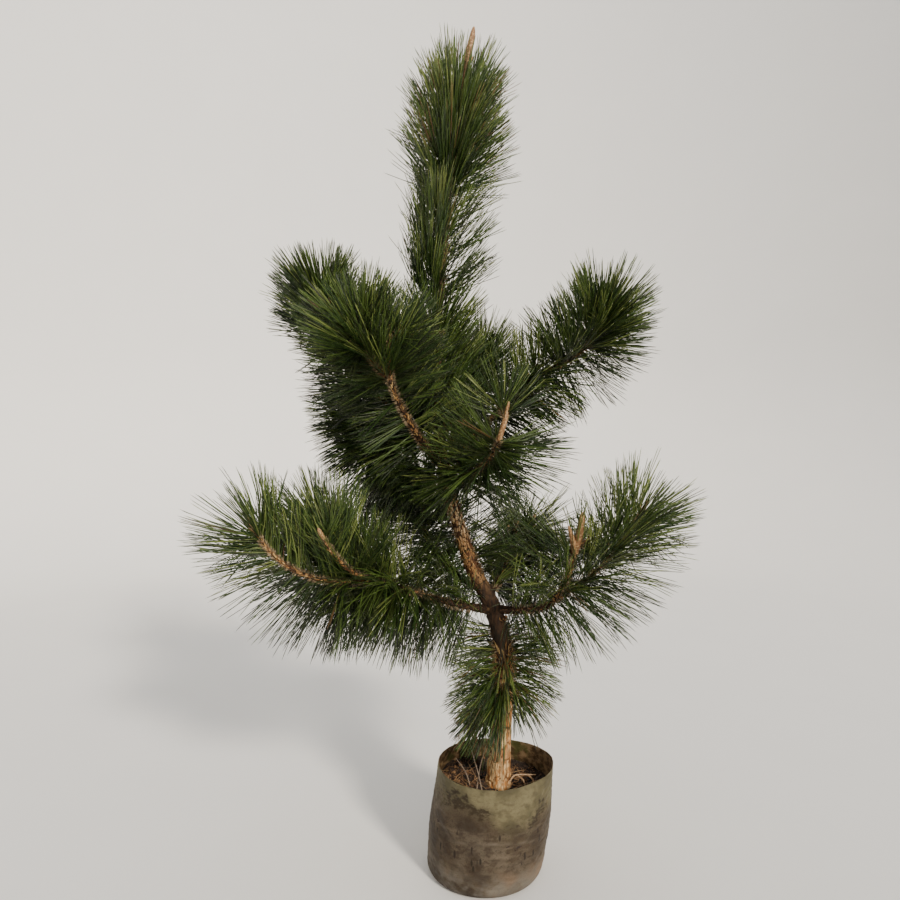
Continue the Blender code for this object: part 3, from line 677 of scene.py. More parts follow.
def grow_limbs():
    """The trunk, the boughs and the twigs as lines of close points with a radius at each."""
    heights = np.concatenate([np.arange(TRUNK[0, 0] - TRUNK_SUNK, TRUNK_ROWS_TO, TRUNK_ROW),
                              np.arange(TRUNK_ROWS_TO, TRUNK[-2, 0], LEADER_ROW)])
    limbs = {"trunk": Limb(trunk_centre(heights), trunk_radius(np.maximum(heights, TRUNK[0, 0])))}
    for name, (height, elbow, tip, *radii) in BOUGHS.items():
        inside = BOUGH_STARTS_AT * trunk_radius(height)[0]
        points, places, length = grow(trunk_centre(height)[0], elbow, tip, inside, BOUGH_ROW)
        radii = np.interp(places, [0.0, length], radii)
        radii *= np.interp(places, [0.0, length], BOUGH_SLIMNESS)
        radii *= 1.0 + COLLAR_SWELL * np.exp(-(places - inside) / COLLAR_LENGTH)
        limbs[name] = Limb(points, radii)
    for name, twigs in MASSES.items():
        for number, twig in enumerate(twigs):
            if twig.parent is None:
                foot = limbs[name].points[TWIG_FOOT_POINT]
                foot_radius = limbs[name].radii[-1] * TWIG_ON_BOUGH
            else:
                parent = limbs[f"{name}.{twig.parent[0]}"]
                foot = resample(parent.points, [twig.parent[1] * along(parent.points)[-1]])[0]
                foot_radius = twig.radii[0] * TWIG_ON_TWIG
            points, places, length = grow(foot, twig.elbow, twig.tip, 0.0, TWIG_ROW)
            slim, slimmest = (radius * TWIG_SLIMNESS for radius in twig.radii)
            radii = np.interp(places, [0.0, TWIG_COLLAR, length], [foot_radius, slim, slimmest])
            limbs[f"{name}.{number}"] = Limb(points, radii)
    return limbs


# Short shoots that fork from the twigs and fill their tufts, and the needles on the boughs
SIDE_SHOOTS = 3
SIDE_SHOOT_FIRST = 0.48
SIDE_SHOOT_APART = 0.15
SIDE_SHOOT_LENGTH = 0.034
SIDE_SHOOT_RADII = (0.0024, 0.0018)
SIDE_SHOOT_LEAN = math.radians(48.0)
SIDE_SHOOT_ELBOW = 0.6
SIDE_SHOOT_FORWARD = 0.3
SIDE_SHOOT_STEP = 1.6
SIDE_SHOOT_SPREAD = (70, 30)
SIDE_SHOOT_CANDLE = 0.004
SIDE_SHOOT_NEEDLES = 0.70
SIDE_SHOOT_POINTS = 12
SIDE_SHOOT_SIDES = 10
SIDE_SHOOT_SHARE = 0.79
PLAIN_TWIGS = ("low_left.2",)
SIDE_SEEDS = 1000
LONG_CANDLES = {"low_right.0": 0.086, "mid_front.0": 0.078}
BOUGH_SEEDS = 900
BOUGH_STEP = 1.1
BOUGH_PULLS = {"low_left": (-0.10, 0.0, -0.75), "low_right": (0.10, 0.0, -0.45)}
BOUGH_SPREAD = (80, 70)
BOUGH_FIRST = 0.30
BOUGH_NEEDLES = 0.90
SLEEVE_STATIONS = 60

Shoot = namedtuple("Shoot", "mass own points radii growth length seed first last")


def grow_shoots(limbs):
    """Every stretch of wood that bears needles: boughs, twigs, their side shoots, and the sleeves."""
    shoots = []
    seed = 0
    for name, twigs in MASSES.items():
        line = limbs[name]
        growth = twigs[0]._replace(step=twigs[0].step * BOUGH_STEP, spread=BOUGH_SPREAD,
                                   pull=BOUGH_PULLS.get(name, twigs[0].pull))
        shoots.append(Shoot(name, (name,), *line, growth, NEEDLE_LENGTH * BOUGH_NEEDLES,
                            BOUGH_SEEDS + seed, BOUGH_FIRST * along(line.points)[-1], 0.0))
        for number, twig in enumerate(twigs):
            seed += 1
            own = f"{name}.{number}"
            bare = LONG_CANDLES.get(own, twig.candle)
            shoot = Shoot(name, (own,), *limbs[own], twig, NEEDLE_LENGTH, seed, FIRST_NEEDLE, bare)
            shoots.append(shoot)
            if own not in PLAIN_TWIGS:
                shoots += fork(shoot)
    sleeves = [(name, name, sleeve) for name, sleeve in SLEEVES.items()]
    sleeves += [("trunk_skirt", "low_skirt", LOW_SKIRT), ("leader_top", "top_tuft", TOP_TUFT)]
    for seed, (mass, own, sleeve) in enumerate(sleeves, seed + 1):
        heights = np.linspace(sleeve.low, sleeve.high, SLEEVE_STATIONS)
        shoots.append(Shoot(mass, ("trunk", own), trunk_centre(heights), trunk_radius(heights), sleeve,
                            sleeve.length, seed, SLEEVE_MARGIN, SLEEVE_MARGIN))
    return shoots


def fork(shoot):
    """The side shoots of a twig, set round it by the golden angle where it keeps its needles."""
    ahead, aside, above = cross_axes(shoot.points)
    growth = shoot.growth._replace(step=shoot.growth.step * SIDE_SHOOT_STEP, spread=SIDE_SHOOT_SPREAD)
    for side in range(SIDE_SHOOTS):
        place = int(len(shoot.points) * (SIDE_SHOOT_FIRST + SIDE_SHOOT_APART * side))
        outward = turned(shoot.seed + GOLDEN_ANGLE * side * 2.0, aside[place], above[place])
        if still_on(shoot, SIDE_SHOOT_SHARE, outward):
            way = turned(SIDE_SHOOT_LEAN, ahead[place], outward)
            foot = shoot.points[place]
            elbow = foot + way * SIDE_SHOOT_LENGTH * SIDE_SHOOT_ELBOW
            tip = foot + way * SIDE_SHOOT_LENGTH + ahead[place] * SIDE_SHOOT_LENGTH * SIDE_SHOOT_FORWARD
            yield Shoot(shoot.mass, shoot.own, bend(foot, elbow, tip, SIDE_SHOOT_POINTS),
                        np.linspace(*SIDE_SHOOT_RADII, SIDE_SHOOT_POINTS), growth,
                        NEEDLE_LENGTH * SIDE_SHOOT_NEEDLES, SIDE_SEEDS + 100 * shoot.seed + side,
                        shoot.radii[place], SIDE_SHOOT_CANDLE)


def still_on(shoot, share, outward):
    """True where a shoot keeps its needles: outward, along the side that it shed, is less than the
    limit, or the place lies outside the bare stretch."""
    kept = np.ones(np.shape(share), bool)
    for first, last, side, limit in SHED.get(shoot.own[-1], []):
        kept &= (share < first) | (share > last) | (outward @ np.array(side) < limit)
    return kept


def spared(shoot, way, luck):
    """True for the pairs that don't point to a thin side of their shoot, and for a share of those
    that do."""
    kept = np.ones(len(way), bool)
    for side, limit, share in SPARSE.get(shoot.own[-1], []):
        kept &= (way @ np.array(side) < limit) | (0.5 + 0.5 * luck[:, 3] < share)
    return kept


def pairs_along(shoot):
    """Where the pairs of needles along a shoot stand, start out for and reach to, and their lucks.

    Pair number i stands at i steps along the shoot and i golden angles round it. It leans forward
    by the spread, which closes from foot to tip, and is pulled aside, most at the foot. Neighbours
    lean and turn together by a smooth random field, so that they hang in locks.
    """
    growth = shoot.growth
    whole = along(shoot.points)[-1]
    step = growth.step / FINER / FULLER.get(shoot.mass, 1.0)
    places = np.arange(shoot.first, whole - shoot.last, step)
    share = places / whole
    stations = np.linspace(0.0, 1.0, HEADING_STATIONS)
    heading = unit(np.gradient(resample(shoot.points, stations * whole), axis=0))
    ahead = unit(follow(share, stations, heading))
    aside, above = across(ahead, TURN_REFERENCE)
    luck = np.random.default_rng(shoot.seed).uniform(-1.0, 1.0, (len(places), 8))
    around = shoot.seed + GOLDEN_ANGLE * np.arange(len(places)) + TURN_LUCK * luck[:, 0]
    spot = points_at(np.cos(around) * LOCK_GIRTH, np.sin(around) * LOCK_GIRTH, places)
    together = LOCK_LEAN * ripple(spot, LOCK_SIZE, LOCK_SEEDS[0] + shoot.seed)
    around = around + LOCK_TURN * ripple(spot, LOCK_SIZE, LOCK_SEEDS[1] + shoot.seed)
    astray = LEAN_LUCK * LOOSER.get(shoot.mass, 1.0) * luck[:, 1] * (1.0 + STRAYING * luck[:, 7] ** 4)
    foot_spread, tip_spread = growth.spread
    lean = np.radians(foot_spread + (tip_spread - foot_spread) * share + astray + together)
    outward = turned(around, aside, above)
    free = turned(lean, ahead, outward)
    way = unit(free + np.outer(1.0 - PULL_FADE * share, HANGING.get(shoot.mass, growth.pull)))
    longest = shoot.length * LONGER.get(shoot.mass, 1.0)
    reach = longest * (1.0 + LENGTH_LUCK * luck[:, 2]) * (1.0 - TIP_SHORTENING * share ** 3)
    radius = np.interp(share, np.linspace(0.0, 1.0, len(shoot.radii)), shoot.radii)
    centre = resample(shoot.points, places)
    bark = centre + outward * (radius * NEEDLE_DEPTH)[:, None]
    start = unit(free + START_OUTWARD * outward)
    tip = centre + way * reach[:, None]
    kept = still_on(shoot, share, outward) & spared(shoot, way, luck)
    return bark[kept], start[kept], tip[kept], share[kept], luck[kept]


def nearest_gaps(starts, ends, other_starts, other_ends):
    """Nearest distance from each segment of one set to each of another."""
    one = ends - starts
    many = other_ends - other_starts
    apart = starts[:, None] - other_starts[None]
    a = np.einsum("ij,ij->i", one, one)[:, None]
    e = np.einsum("ij,ij->i", many, many)[None]
    b = one @ many.T
    c = np.einsum("ijk,ik->ij", apart, one)
    f = np.einsum("ijk,jk->ij", apart, many)
    s = np.clip((b * f - c * e) / np.maximum(a * e - b * b, 1e-12), 0.0, 1.0)
    t = np.clip((b * s + f) / e, 0.0, 1.0)
    s = np.clip((b * t - c) / a, 0.0, 1.0)
    return np.linalg.norm(apart + s[..., None] * one[:, None] - t[..., None] * many[None], axis=2)


def has_room(shoot, bark, tip, limbs):
    """True for each pair that keeps to its mass's space and passes clear of every other limb.

    A mass's space is what lies nearer to its own twigs than to another's, with a little overlap.
    """
    bones = {}
    for name, limb in limbs.items():
        places = np.linspace(0.0, along(limb.points)[-1], TRUNK_BONES if name == "trunk" else BONES)
        bones[name] = (resample(limb.points, places), np.interp(places, along(limb.points), limb.radii))
    others = [bone for name, bone in bones.items() if name not in shoot.own]
    starts = np.concatenate([points[:-1] for points, _ in others])
    ends = np.concatenate([points[1:] for points, _ in others])
    widths = np.concatenate([radii[:-1] for _, radii in others])
    heading = unit(tip - bark)
    room = np.all(nearest_gaps(bark + heading * CLEAR_OF_BARK, tip, starts, ends) > widths, axis=1)
    cores = {name: points for name, (points, _) in bones.items() if "." in name}
    for name, sleeve in SLEEVES.items():
        cores[name] = trunk_centre(np.linspace(sleeve.low, sleeve.high, SPACE_STATIONS))
    away = {name: np.linalg.norm(tip[:, None] - points, axis=2).min(axis=1) for name, points in cores.items()}
    own = [gap for name, gap in away.items() if name.split(".")[0] == shoot.mass]
    other = [gap for name, gap in away.items() if name.split(".")[0] != shoot.mass]
    return room & (np.min(own, axis=0) < np.min(other, axis=0) + SPACE_OVERLAP)


# Tones of the needles, dealt out by pair. Beside their own random tones they carry painted light:
# the darker tones stand partly for painted shade, the fresh and golden ones partly for painted sunlight
NEEDLE_TONES = {
    "needles_deep": (0.009, 0.015, 0.004),
    "needles_olive": (0.030, 0.042, 0.010),
    "needles_green": (0.023, 0.049, 0.009),
    "needles_fresh_and_sunlit": (0.073, 0.118, 0.022),
    "needles_golden": (0.186, 0.228, 0.058),
    "needles_dry": (0.150, 0.082, 0.032),
}
DRY = list(NEEDLE_TONES).index("needles_dry")
TONE_STEPS = (0.17, 0.36, 0.56, 0.84)
NEEDLE_ROUGHNESS = 0.37
NEEDLE_GLOSS = 0.43
# Tones raised or lowered for a whole mass: painted light and painted shade
MASS_PAINTED_LIGHT = {"far_left": -0.12, "low_left": 0.06, "mid_left": 0.08,
           "trunk_skirt": 0.20, "low_right": 0.10, "leader_top": 0.12,
           "right": 0.05, "leader_middle": 0.05}
DRY_SHARE = {"trunk_skirt": 0.05, "leader_top": 0.006}
DRY_SHARE_ELSEWHERE = 0.004
DRY_TIPS = {"leader_top": 0.08}
SHEATH_LENGTH = 0.011
SHEATH_STATIONS = np.array([0.0, 0.55])
SHEATH_HALF_WIDTH = 0.0013


def deal_tones(shoot, share, rising, luck):
    """A tone for each pair, from its luck and from painted light: deeper at a twig's foot, a painted
    shade inside the tuft; lighter towards its tip, partly fresh growth and partly painted sunlight,
    and where the needles rise towards the light, as painted sunlight; lighter or darker for a whole
    mass, as painted light and shade; and dry here and there."""
    # Luck, with painted light: the place along the twig and how far the needle rises
    light = 0.29 + 0.20 * share + 0.18 * rising + 0.33 * luck[:, 4] + 0.27 * luck[:, 5]
    tones = np.digitize(light + MASS_PAINTED_LIGHT.get(shoot.mass, 0.0), TONE_STEPS)
    dry = 0.5 + 0.5 * luck[:, 6] < DRY_SHARE.get(shoot.mass, DRY_SHARE_ELSEWHERE)
    return np.where(dry, DRY, tones)


def add_needles(pile, sheaths, shoot, limbs):
    """The needles of a shoot in pairs, each a slim three sided rod along a curve, and their sheaths.

    A needle's line is the quadratic Bezier curve from the bark to its tip, pulled by the heading
    that it starts out for. The two of a pair part by a few degrees.
    """
    pairs = pairs_along(shoot)
    room = has_room(shoot, pairs[0], pairs[2], limbs)
    bark, start, tip, share, luck = (values[room] for values in pairs)
    way = unit(tip - bark)
    reach = np.linalg.norm(tip - bark, axis=1)[:, None]
    side = turned(2.0 * math.pi * luck[:, 3], *across(way, TURN_REFERENCE))
    part = (math.tan(PAIR_ANGLE) * (PAIR_LUCK[0] + PAIR_LUCK[1] * luck[:, 7]))[:, None]
    drift = np.cross(way, side) * (NEEDLE_DRIFT * luck[:, 4:5] * reach)
    tones = deal_tones(shoot, share, way[:, 2], luck)
    scorched = np.random.default_rng(shoot.seed).uniform(size=len(bark)) < DRY_TIPS.get(shoot.mass, 0.0)
    root = bark - start * NEEDLE_ROOT
    for sign in (-1.0, 1.0):
        end = tip + side * (sign * part * reach) + drift
        elbow = bark + start * (NEEDLE_ELBOW * reach) + side * (sign * PAIR_ELBOW * part * reach)
        centres = bezier(bark[:, None], elbow[:, None], end[:, None], NEEDLE_STATIONS[:, None])
        heading = unit(end - bark)
        pile.add_rods(centres, across(heading, np.cross(side, heading)), NEEDLE_HALF_WIDTH * NEEDLE_TAPER,
                      3, (root, end), tones, np.where(scorched, DRY, tones))
    centres = bark[:, None] + start[:, None] * (SHEATH_LENGTH * SHEATH_STATIONS)[:, None]
    sheaths.add_rods(centres, across(start, np.cross(side, start)), SHEATH_HALF_WIDTH, 3,
                     (root, bark + start * SHEATH_LENGTH))


# Loose bract scales that stand off the bark of boughs, twigs and the upper trunk
Bract = namedtuple("Bract", "step length half_width lift paler")

LOOSE_SCALE = Bract(0.0015, 0.0078, 0.0015, 0.42, 0.1)
# Darker loose scales, for painted shade on the lowest boughs and up the leader
SHADED_SCALE = Bract(0.0016, 0.0062, 0.0012, 0.38, -0.7)
BRISTLY = (0.180, 0.300)
BRISTLE = Bract(0.00045, 0.0210, 0.0010, 0.70, 0.9)
BRACT_STATIONS = np.array([0.0, 0.45, 0.8])
BRACT_TAPER = np.array([1.0, 0.9, 0.5])
BRACT_THINNESS = 0.35
BRACT_LUCK = 0.35
BRACT_TURN_LUCK = 0.6
BRACT_ELBOW = (0.6, 0.05)
BRACT_REACH = 0.85
BRACT_ROOT = 0.001
BRACT_TONES = (0.1, 0.75)
BOUGH_BRACTS_FROM = 0.012
TWIG_BRACTS_FROM = 0.004
BOUGH_BRACT_SEEDS = 11
TWIG_BRACT_SEEDS = 40


def add_bracts(pile, limb, start, end, seed, bract=LOOSE_SCALE):
    """Pointed scales set round a limb by the golden angle, which curl off the bark."""
    at = along(limb.points)
    places = np.arange(start, end, bract.step)
    ahead, aside, above = (unit(follow(places, at, axes)) for axes in cross_axes(limb.points))
    luck = np.random.default_rng(seed).uniform(-1.0, 1.0, (len(places), 4))
    around = GOLDEN_ANGLE * np.arange(len(places)) + BRACT_TURN_LUCK * luck[:, 0]
    outward = turned(around, aside, above)
    foot = follow(places, at, limb.points) + outward * np.interp(places, at, limb.radii)[:, None]
    length = bract.length * (1.0 + BRACT_LUCK * luck[:, 1:2])
    lift = bract.lift + BRACT_LUCK * luck[:, 2:3]
    elbow = foot + (ahead * BRACT_ELBOW[0] + outward * BRACT_ELBOW[1]) * length
    tip = foot + (ahead * BRACT_REACH + outward * lift) * length
    centres = bezier(foot[:, None], elbow[:, None], tip[:, None], BRACT_STATIONS[:, None])
    pile.add_rods(centres, (outward * BRACT_THINNESS, np.cross(ahead, outward)),
                  bract.half_width * BRACT_TAPER, 4, (foot - ahead * BRACT_ROOT, tip),
                  np.digitize(luck[:, 3] + bract.paler, BRACT_TONES))


# Candles: the winter buds at the tips, with fringed scales
CANDLE_ROW = 0.0010
CANDLE_SIDES = 14
CANDLE_GIRTH = 0.0044
CANDLE_BOW = 0.06
CANDLE_SCALES = 1.6
CANDLE_RELIEF = 0.28
BUD_GIRTH = 0.0023
BUD_LENGTH = 0.012
BUD_LUCK = 0.35
BUD_LEAN = 0.55
BUD_FOOT = 0.5
BUDS = 2
LEADER_GIRTH = 0.0072
LONG_CANDLE_GIRTHS = {"low_right.0": 0.0078, "mid_front.0": 0.0052}
LEAST_CANDLE = 0.01
SHORTEST_CANDLE = 0.026
FORKED_CANDLE = ("low_right.0", (0.167, -0.066, 0.716), 0.0056)


def add_candle(pile, foot, tip, girth, seed):
    """A bud: a spindle whose radius swells to its girth and closes to a point, under fine scales.

    The swell is a half wave over the length, and the close a root of its sixth power.
    """
    length = float(np.linalg.norm(tip - foot))
    count = max(8, int(length / CANDLE_ROW))
    bow = np.random.default_rng(seed).uniform(-CANDLE_BOW, CANDLE_BOW, 3) * length
    share = np.linspace(0.0, 1.0, count)
    radii = girth * (0.76 + 0.24 * np.sin(math.pi * share ** 0.7)) * np.sqrt(1.0 - 0.95 * share ** 6)

    def dress(turn, lengths, radius):
        finer = lengths * CANDLE_SCALES, radius * CANDLE_SCALES
        relief, height, luck = scales(turn, *finer, SCALE_DEPTH * CANDLE_RELIEF)
        return relief * (radius / girth), {"height": height, "luck": luck}

    add_limb(pile, bend(foot, (foot + tip) / 2.0 + bow, tip, count), radii, CANDLE_SIDES, dress)


def add_candles(pile, limbs):
    """A candle at the tip of the trunk and of each twig that ends free, with small buds round it."""
    trunk = limbs["trunk"]
    ends = [(trunk, trunk.points[-1], TRUNK[-1, [1, 2, 0]], LEADER_GIRTH)]
    for name, twigs in MASSES.items():
        for number, twig in enumerate(twigs):
            own = f"{name}.{number}"
            if twig.candle > LEAST_CANDLE:
                limb = limbs[own]
                length = LONG_CANDLES.get(own, max(twig.candle, SHORTEST_CANDLE))
                foot = resample(limb.points, [along(limb.points)[-1] - length])[0]
                ends.append((limb, foot, limb.points[-1], LONG_CANDLE_GIRTHS.get(own, CANDLE_GIRTH)))
                if FORKED_CANDLE[0] == own:
                    ends.append((limb, foot, np.array(FORKED_CANDLE[1]), FORKED_CANDLE[2]))
    for seed, (limb, foot, tip, girth) in enumerate(ends):
        add_candle(pile, foot, tip, girth, seed)
        _, aside, above = cross_axes(limb.points)
        ahead = unit(tip - foot)
        for bud in range(BUDS):
            outward = turned(seed + bud * 2.0 * math.pi / BUDS, aside[-1], above[-1])
            stretch = BUD_LENGTH * (1.0 + BUD_LUCK * math.sin(seed * 2.3 + bud * 1.7))
            root = foot + outward * girth * BUD_FOOT
            add_candle(pile, root, root + (ahead + outward * BUD_LEAN) * stretch, BUD_GIRTH, seed * 7 + bud)


# The bag's skin: rows of its profile, sides, and how soft sheet creases
BAG_SIDES = 288
SIDE_ROWS = 120
CORNER_ROWS = 10
RIM_ROWS = 4
INNER_ROWS = 60
DENT_SIZE = 0.075
DENT_DEPTH = 0.0016
CREASE_SIZE = 0.026
CREASE_DEPTH = 0.0011
SLANT_SIZE = 0.034
SLANT_DEPTH = 0.00066
CRINKLE_SIZE = 0.011
CRINKLE_DEPTH = 0.00035
BELLY_PLACE = (0.085, 0.055)
FOLD_PLACE = (0.112, 0.022)
FOLD_TURN = 3.78
FOLD_WIDTH = 0.16
FOLD_SLANT = 13.0
FOLD_MIDDLE = 0.115
FOLD_DEPTH = 0.0022
RIDGE_PLACE = (0.098, 0.0055)
RIDGE_SWAY = 0.012
RIDGE_TURN = (4.85, 0.75)
RIDGE_DEPTH = 0.0012
STIFF_FOOT = 0.03


def soften(x, y, z):
    """Leans places of the bag or its soil with height, and waves them round the side and rim."""
    turn = np.arctan2(y, x)
    reach = np.hypot(x, y) / BAG_RADIUS
    share = z / BAG_HEIGHT
    wave = SIDE_WAVE * share * (np.sin(2.0 * turn + 0.6) + 0.5 * np.sin(3.0 * turn + 2.0)) * reach
    rim = RIM_WAVE * (share * reach) ** 6 * np.sin(2.0 * turn + 1.9)
    return points_at(x + wave * np.cos(turn) + BAG_LEAN * share, y + wave * np.sin(turn), z + rim)


def bag_side(height):
    """The bag's outer radius at a height, before it is leaned, with its belly and rounded foot."""
    belly = BAG_BELLY * np.sin(math.pi * (1.0 - np.maximum(height, BAG_CORNER) / BAG_HEIGHT))
    drop = np.clip(BAG_CORNER - height, 0.0, BAG_CORNER)
    return BAG_RADIUS + belly - BAG_CORNER + np.sqrt(np.maximum(BAG_CORNER ** 2 - drop ** 2, 0.0))


def bump(value, middle, width):
    """A bell: 1 at the middle, dying away over the width on both sides."""
    return np.exp(-((value - middle) / width) ** 2)


def ridge_line(turn, height):
    """Height over the line of the ridge that crosses the bag's front, in its half widths, and how
    much of the ridge there is at this turn."""
    middle, half_width = RIDGE_PLACE
    away = (height - middle - RIDGE_SWAY * np.cos(2.0 * turn - 9.4)) / half_width
    return away, bump(turn, *RIDGE_TURN)


def creases(turn, height):
    """How far soft sheet stands in or out: broad dents, sharp creases that run round the belly of
    the bag, slanting folds and fine crinkles, one fold down a side and one ridge across the front,
    all dying away at the foot."""
    x, y = np.cos(turn) * BAG_RADIUS, np.sin(turn) * BAG_RADIUS
    dents = ripple(points_at(x, y, height), DENT_SIZE, seed=11)
    sharp = np.abs(ripple(points_at(x * 0.30, y * 0.30, height + 0.05 * x), CREASE_SIZE, seed=12))
    slant = np.abs(ripple(points_at(x * 0.7, y * 0.7, height * 0.5 - 0.4 * x), SLANT_SIZE, seed=13))
    crinkle = ripple(points_at(x, y, height * 2.0), CRINKLE_SIZE, seed=14)
    field = DENT_DEPTH * dents + CREASE_DEPTH * bump(height, *BELLY_PLACE) * (0.5 - sharp)
    field = field + SLANT_DEPTH * (0.5 - slant) + CRINKLE_DEPTH * crinkle
    beside = turn - FOLD_TURN - FOLD_SLANT * (FOLD_MIDDLE - height)
    fold = bump(beside, 0.0, FOLD_WIDTH) * bump(height, *FOLD_PLACE)
    away, much = ridge_line(turn, height)
    ridge = RIDGE_DEPTH * away * np.exp(-away ** 2) * much
    return (field - FOLD_DEPTH * fold + ridge) * smoothstep(height, 0.0, STIFF_FOOT)


def wall_place(turn, level, inset):
    """Places on the bag's wall at a turn and a level, set in from its outside."""
    radius = bag_side(level) - inset + creases(turn, level)
    return soften(radius * np.cos(turn), radius * np.sin(turn), level)


# The line where water stood: its height at the back and in front, how far it hangs down in a loop
# there and how far it comes up again at the right, each with where that begins and ends, and how it
# wanders. Then the middle and half width of its stains
WATER_BACK = 0.176
WATER_FRONT = 0.184
FRONT_SIDE = (-0.02, 0.05)
LOOP_DROP = 0.040
LOOP_DROPS = (-0.008, 0.036)
LOOP_RISE = 0.015
LOOP_RISES = (0.080, 0.108)
WANDER = 0.004
WANDER_SIZE = 0.03
STAINS = [(-0.034, 0.040), (0.100, 0.016)]


def waterline(places):
    """Height above the line where water stood, which hangs in a low loop on the bag's front."""
    x, y, z = np.moveaxis(places, -1, 0)
    drop = LOOP_DROP * smoothstep(x, *LOOP_DROPS) - LOOP_RISE * smoothstep(x, *LOOP_RISES)
    front = smoothstep(-y, *FRONT_SIDE)
    wander = WANDER * ripple(points_at(x, y, 0.0), WANDER_SIZE, seed=41)
    return z - (WATER_FRONT - drop) * front - WATER_BACK * (1.0 - front) - wander


def stained(x):
    """How much of the brown tide mark there is: bumps round two places from left to right."""
    return sum(np.exp(-((x - middle) / width) ** 4) for middle, width in STAINS)


def make_bag(finish):
    """The planter bag: a closed skin that runs up its outside, over the rim and down its inside."""
    corner = math.pi / 2.0 * np.linspace(0.0, 1.0, CORNER_ROWS)
    side = np.linspace(BAG_CORNER, BAG_HEIGHT, SIDE_ROWS)[1:]
    lip = math.pi * np.linspace(0.0, 1.0, RIM_ROWS + 2)[1:-1]
    inner = np.linspace(BAG_HEIGHT, BAG_WALL * 2.0, INNER_ROWS)
    level = np.concatenate([BAG_CORNER * (1.0 - np.cos(corner)), side,
                            BAG_HEIGHT + np.sin(lip) * BAG_WALL / 2.0, inner])
    inset = np.concatenate([np.zeros(CORNER_ROWS + SIDE_ROWS - 1), (1.0 - np.cos(lip)) * BAG_WALL / 2.0,
                            np.full(INNER_ROWS, BAG_WALL)])
    turn, level = np.meshgrid(full_turn(BAG_SIDES), level)
    inset = np.broadcast_to(inset[:, None], turn.shape)
    grid = wall_place(turn, level, inset)
    away, much = ridge_line(turn, level)
    rubbed = np.exp(-(away - 0.6) ** 2 * 3.0) * much * (0.5 + 0.5 * np.sin(turn * 19.0) * np.sin(turn * 7.0))
    pile = Pile()
    pile.add_skin(grid, [(0.0, 0.0, 0.0), (0.0, 0.0, BAG_WALL * 2.0)], within=inset / BAG_WALL,
                  band=waterline(grid), rubbed=rubbed, stain=stained(grid[..., 0]))
    return pile.make("bag_skin", [finish])


# Soil: rings and sides of its top, and how rough it lies
SOIL_RINGS = 70
SOIL_SIDES = 200
SOIL_PLAY = 0.0004
SOIL_MIDDLE = 0.02
SOIL_EDGE_DROP = 0.03
SOIL_FLOOR_ROWS = 6
CLOD_SIZE = 0.016
CLOD_HEIGHT = 0.0030
CRUMB_SIZE = 0.005
CRUMB_HEIGHT = 0.0011
CRUMB_WAVES = 40
MOUND_PLACE = (-0.062, 0.020)
MOUND_WIDTH = 0.034
MOUND_HEIGHT = 0.016


def soil_place(turn, share):
    """Places on the soil's top: level round the trunk, heaped towards one side of the wall, rough.

    The wall's reach and the heap's height hang on each other, so they are worked out twice.
    """
    height = np.full(np.shape(share), SOIL_HEIGHT)
    for _ in range(2):
        wall = bag_side(height) + creases(turn, height) - BAG_WALL - SOIL_PLAY
        reach = share * wall
        rise = np.maximum(0.0, reach - SOIL_LEVEL_RADIUS) / (BAG_RADIUS - SOIL_LEVEL_RADIUS)
        height = SOIL_HEIGHT + SOIL_HEAP * (0.5 - 0.5 * np.cos(turn - SOIL_HEAP_TURN)) * rise
    x, y = reach * np.cos(turn), reach * np.sin(turn)
    flat = points_at(x, y, 0.0)
    rough = CLOD_HEIGHT * ripple(flat, CLOD_SIZE, seed=21)
    rough = rough + CRUMB_HEIGHT * ripple(flat, CRUMB_SIZE, seed=22, waves=CRUMB_WAVES)
    away = np.hypot(x - MOUND_PLACE[0], y - MOUND_PLACE[1])
    return soften(x, y, height + rough + MOUND_HEIGHT * bump(away, 0.0, MOUND_WIDTH))


def make_soil(finish):
    """The potting mix: a rough top, and plain walls and a floor inside the bag."""
    top = soil_place(*np.meshgrid(full_turn(SOIL_SIDES), np.linspace(SOIL_MIDDLE, 1.0, SOIL_RINGS)))[::-1]
    levels = np.linspace(SOIL_HEIGHT - SOIL_EDGE_DROP, BAG_WALL * 3.0, SOIL_FLOOR_ROWS)
    wall = wall_place(*np.meshgrid(full_turn(SOIL_SIDES), levels), BAG_WALL + SOIL_PLAY)[::-1]
    pile = Pile()
    pile.add_skin(np.concatenate([wall, top]), [wall[0].mean(axis=0), top[-1].mean(axis=0)])
    return pile.make("soil_top", [finish])


# Litter on the soil: chips of bark, crumbs and dry needles, each with a count and a range of sizes
LITTER_HEAPS = [(-0.062, 0.000, 0.045), (0.070, 0.035, 0.030)]
LITTER_SEED = 31
LITTER_COVER = 0.15
LITTER_REACH = 0.97
FALLEN_REACH = 0.75
LITTER_FROM_TRUNK = 0.9
LITTER_CORNERS = 5
LITTER_LIFT = 0.0006
CHIPS = (1100, (0.0022, 0.0075), 0.3)
CRUMBS = (1500, (0.0007, 0.0019), 0.8)
CHIP_WIDTHS = (0.35, 0.75)
CHIP_ENDS = np.array([-0.7, 0.0, 0.7])
CHIP_POINT = 0.2
CHIP_TONES = (0, 3)
FALLEN_NEEDLES = 130
FALLEN_LENGTH = (0.035, 0.095)
FALLEN_SLOPE = (-0.05, 0.14)
FALLEN_WITHIN = 0.93
FALLEN_ASIDE = 0.15
FALLEN_LIFT = 0.0015
FALLEN_BOW = 0.004
FALLEN_HALF_WIDTH = 0.0007
FALLEN_TAPER = np.array([0.9, 1.0, 1.0, 0.9, 0.7])
FALLEN_TONES = (3, 5)


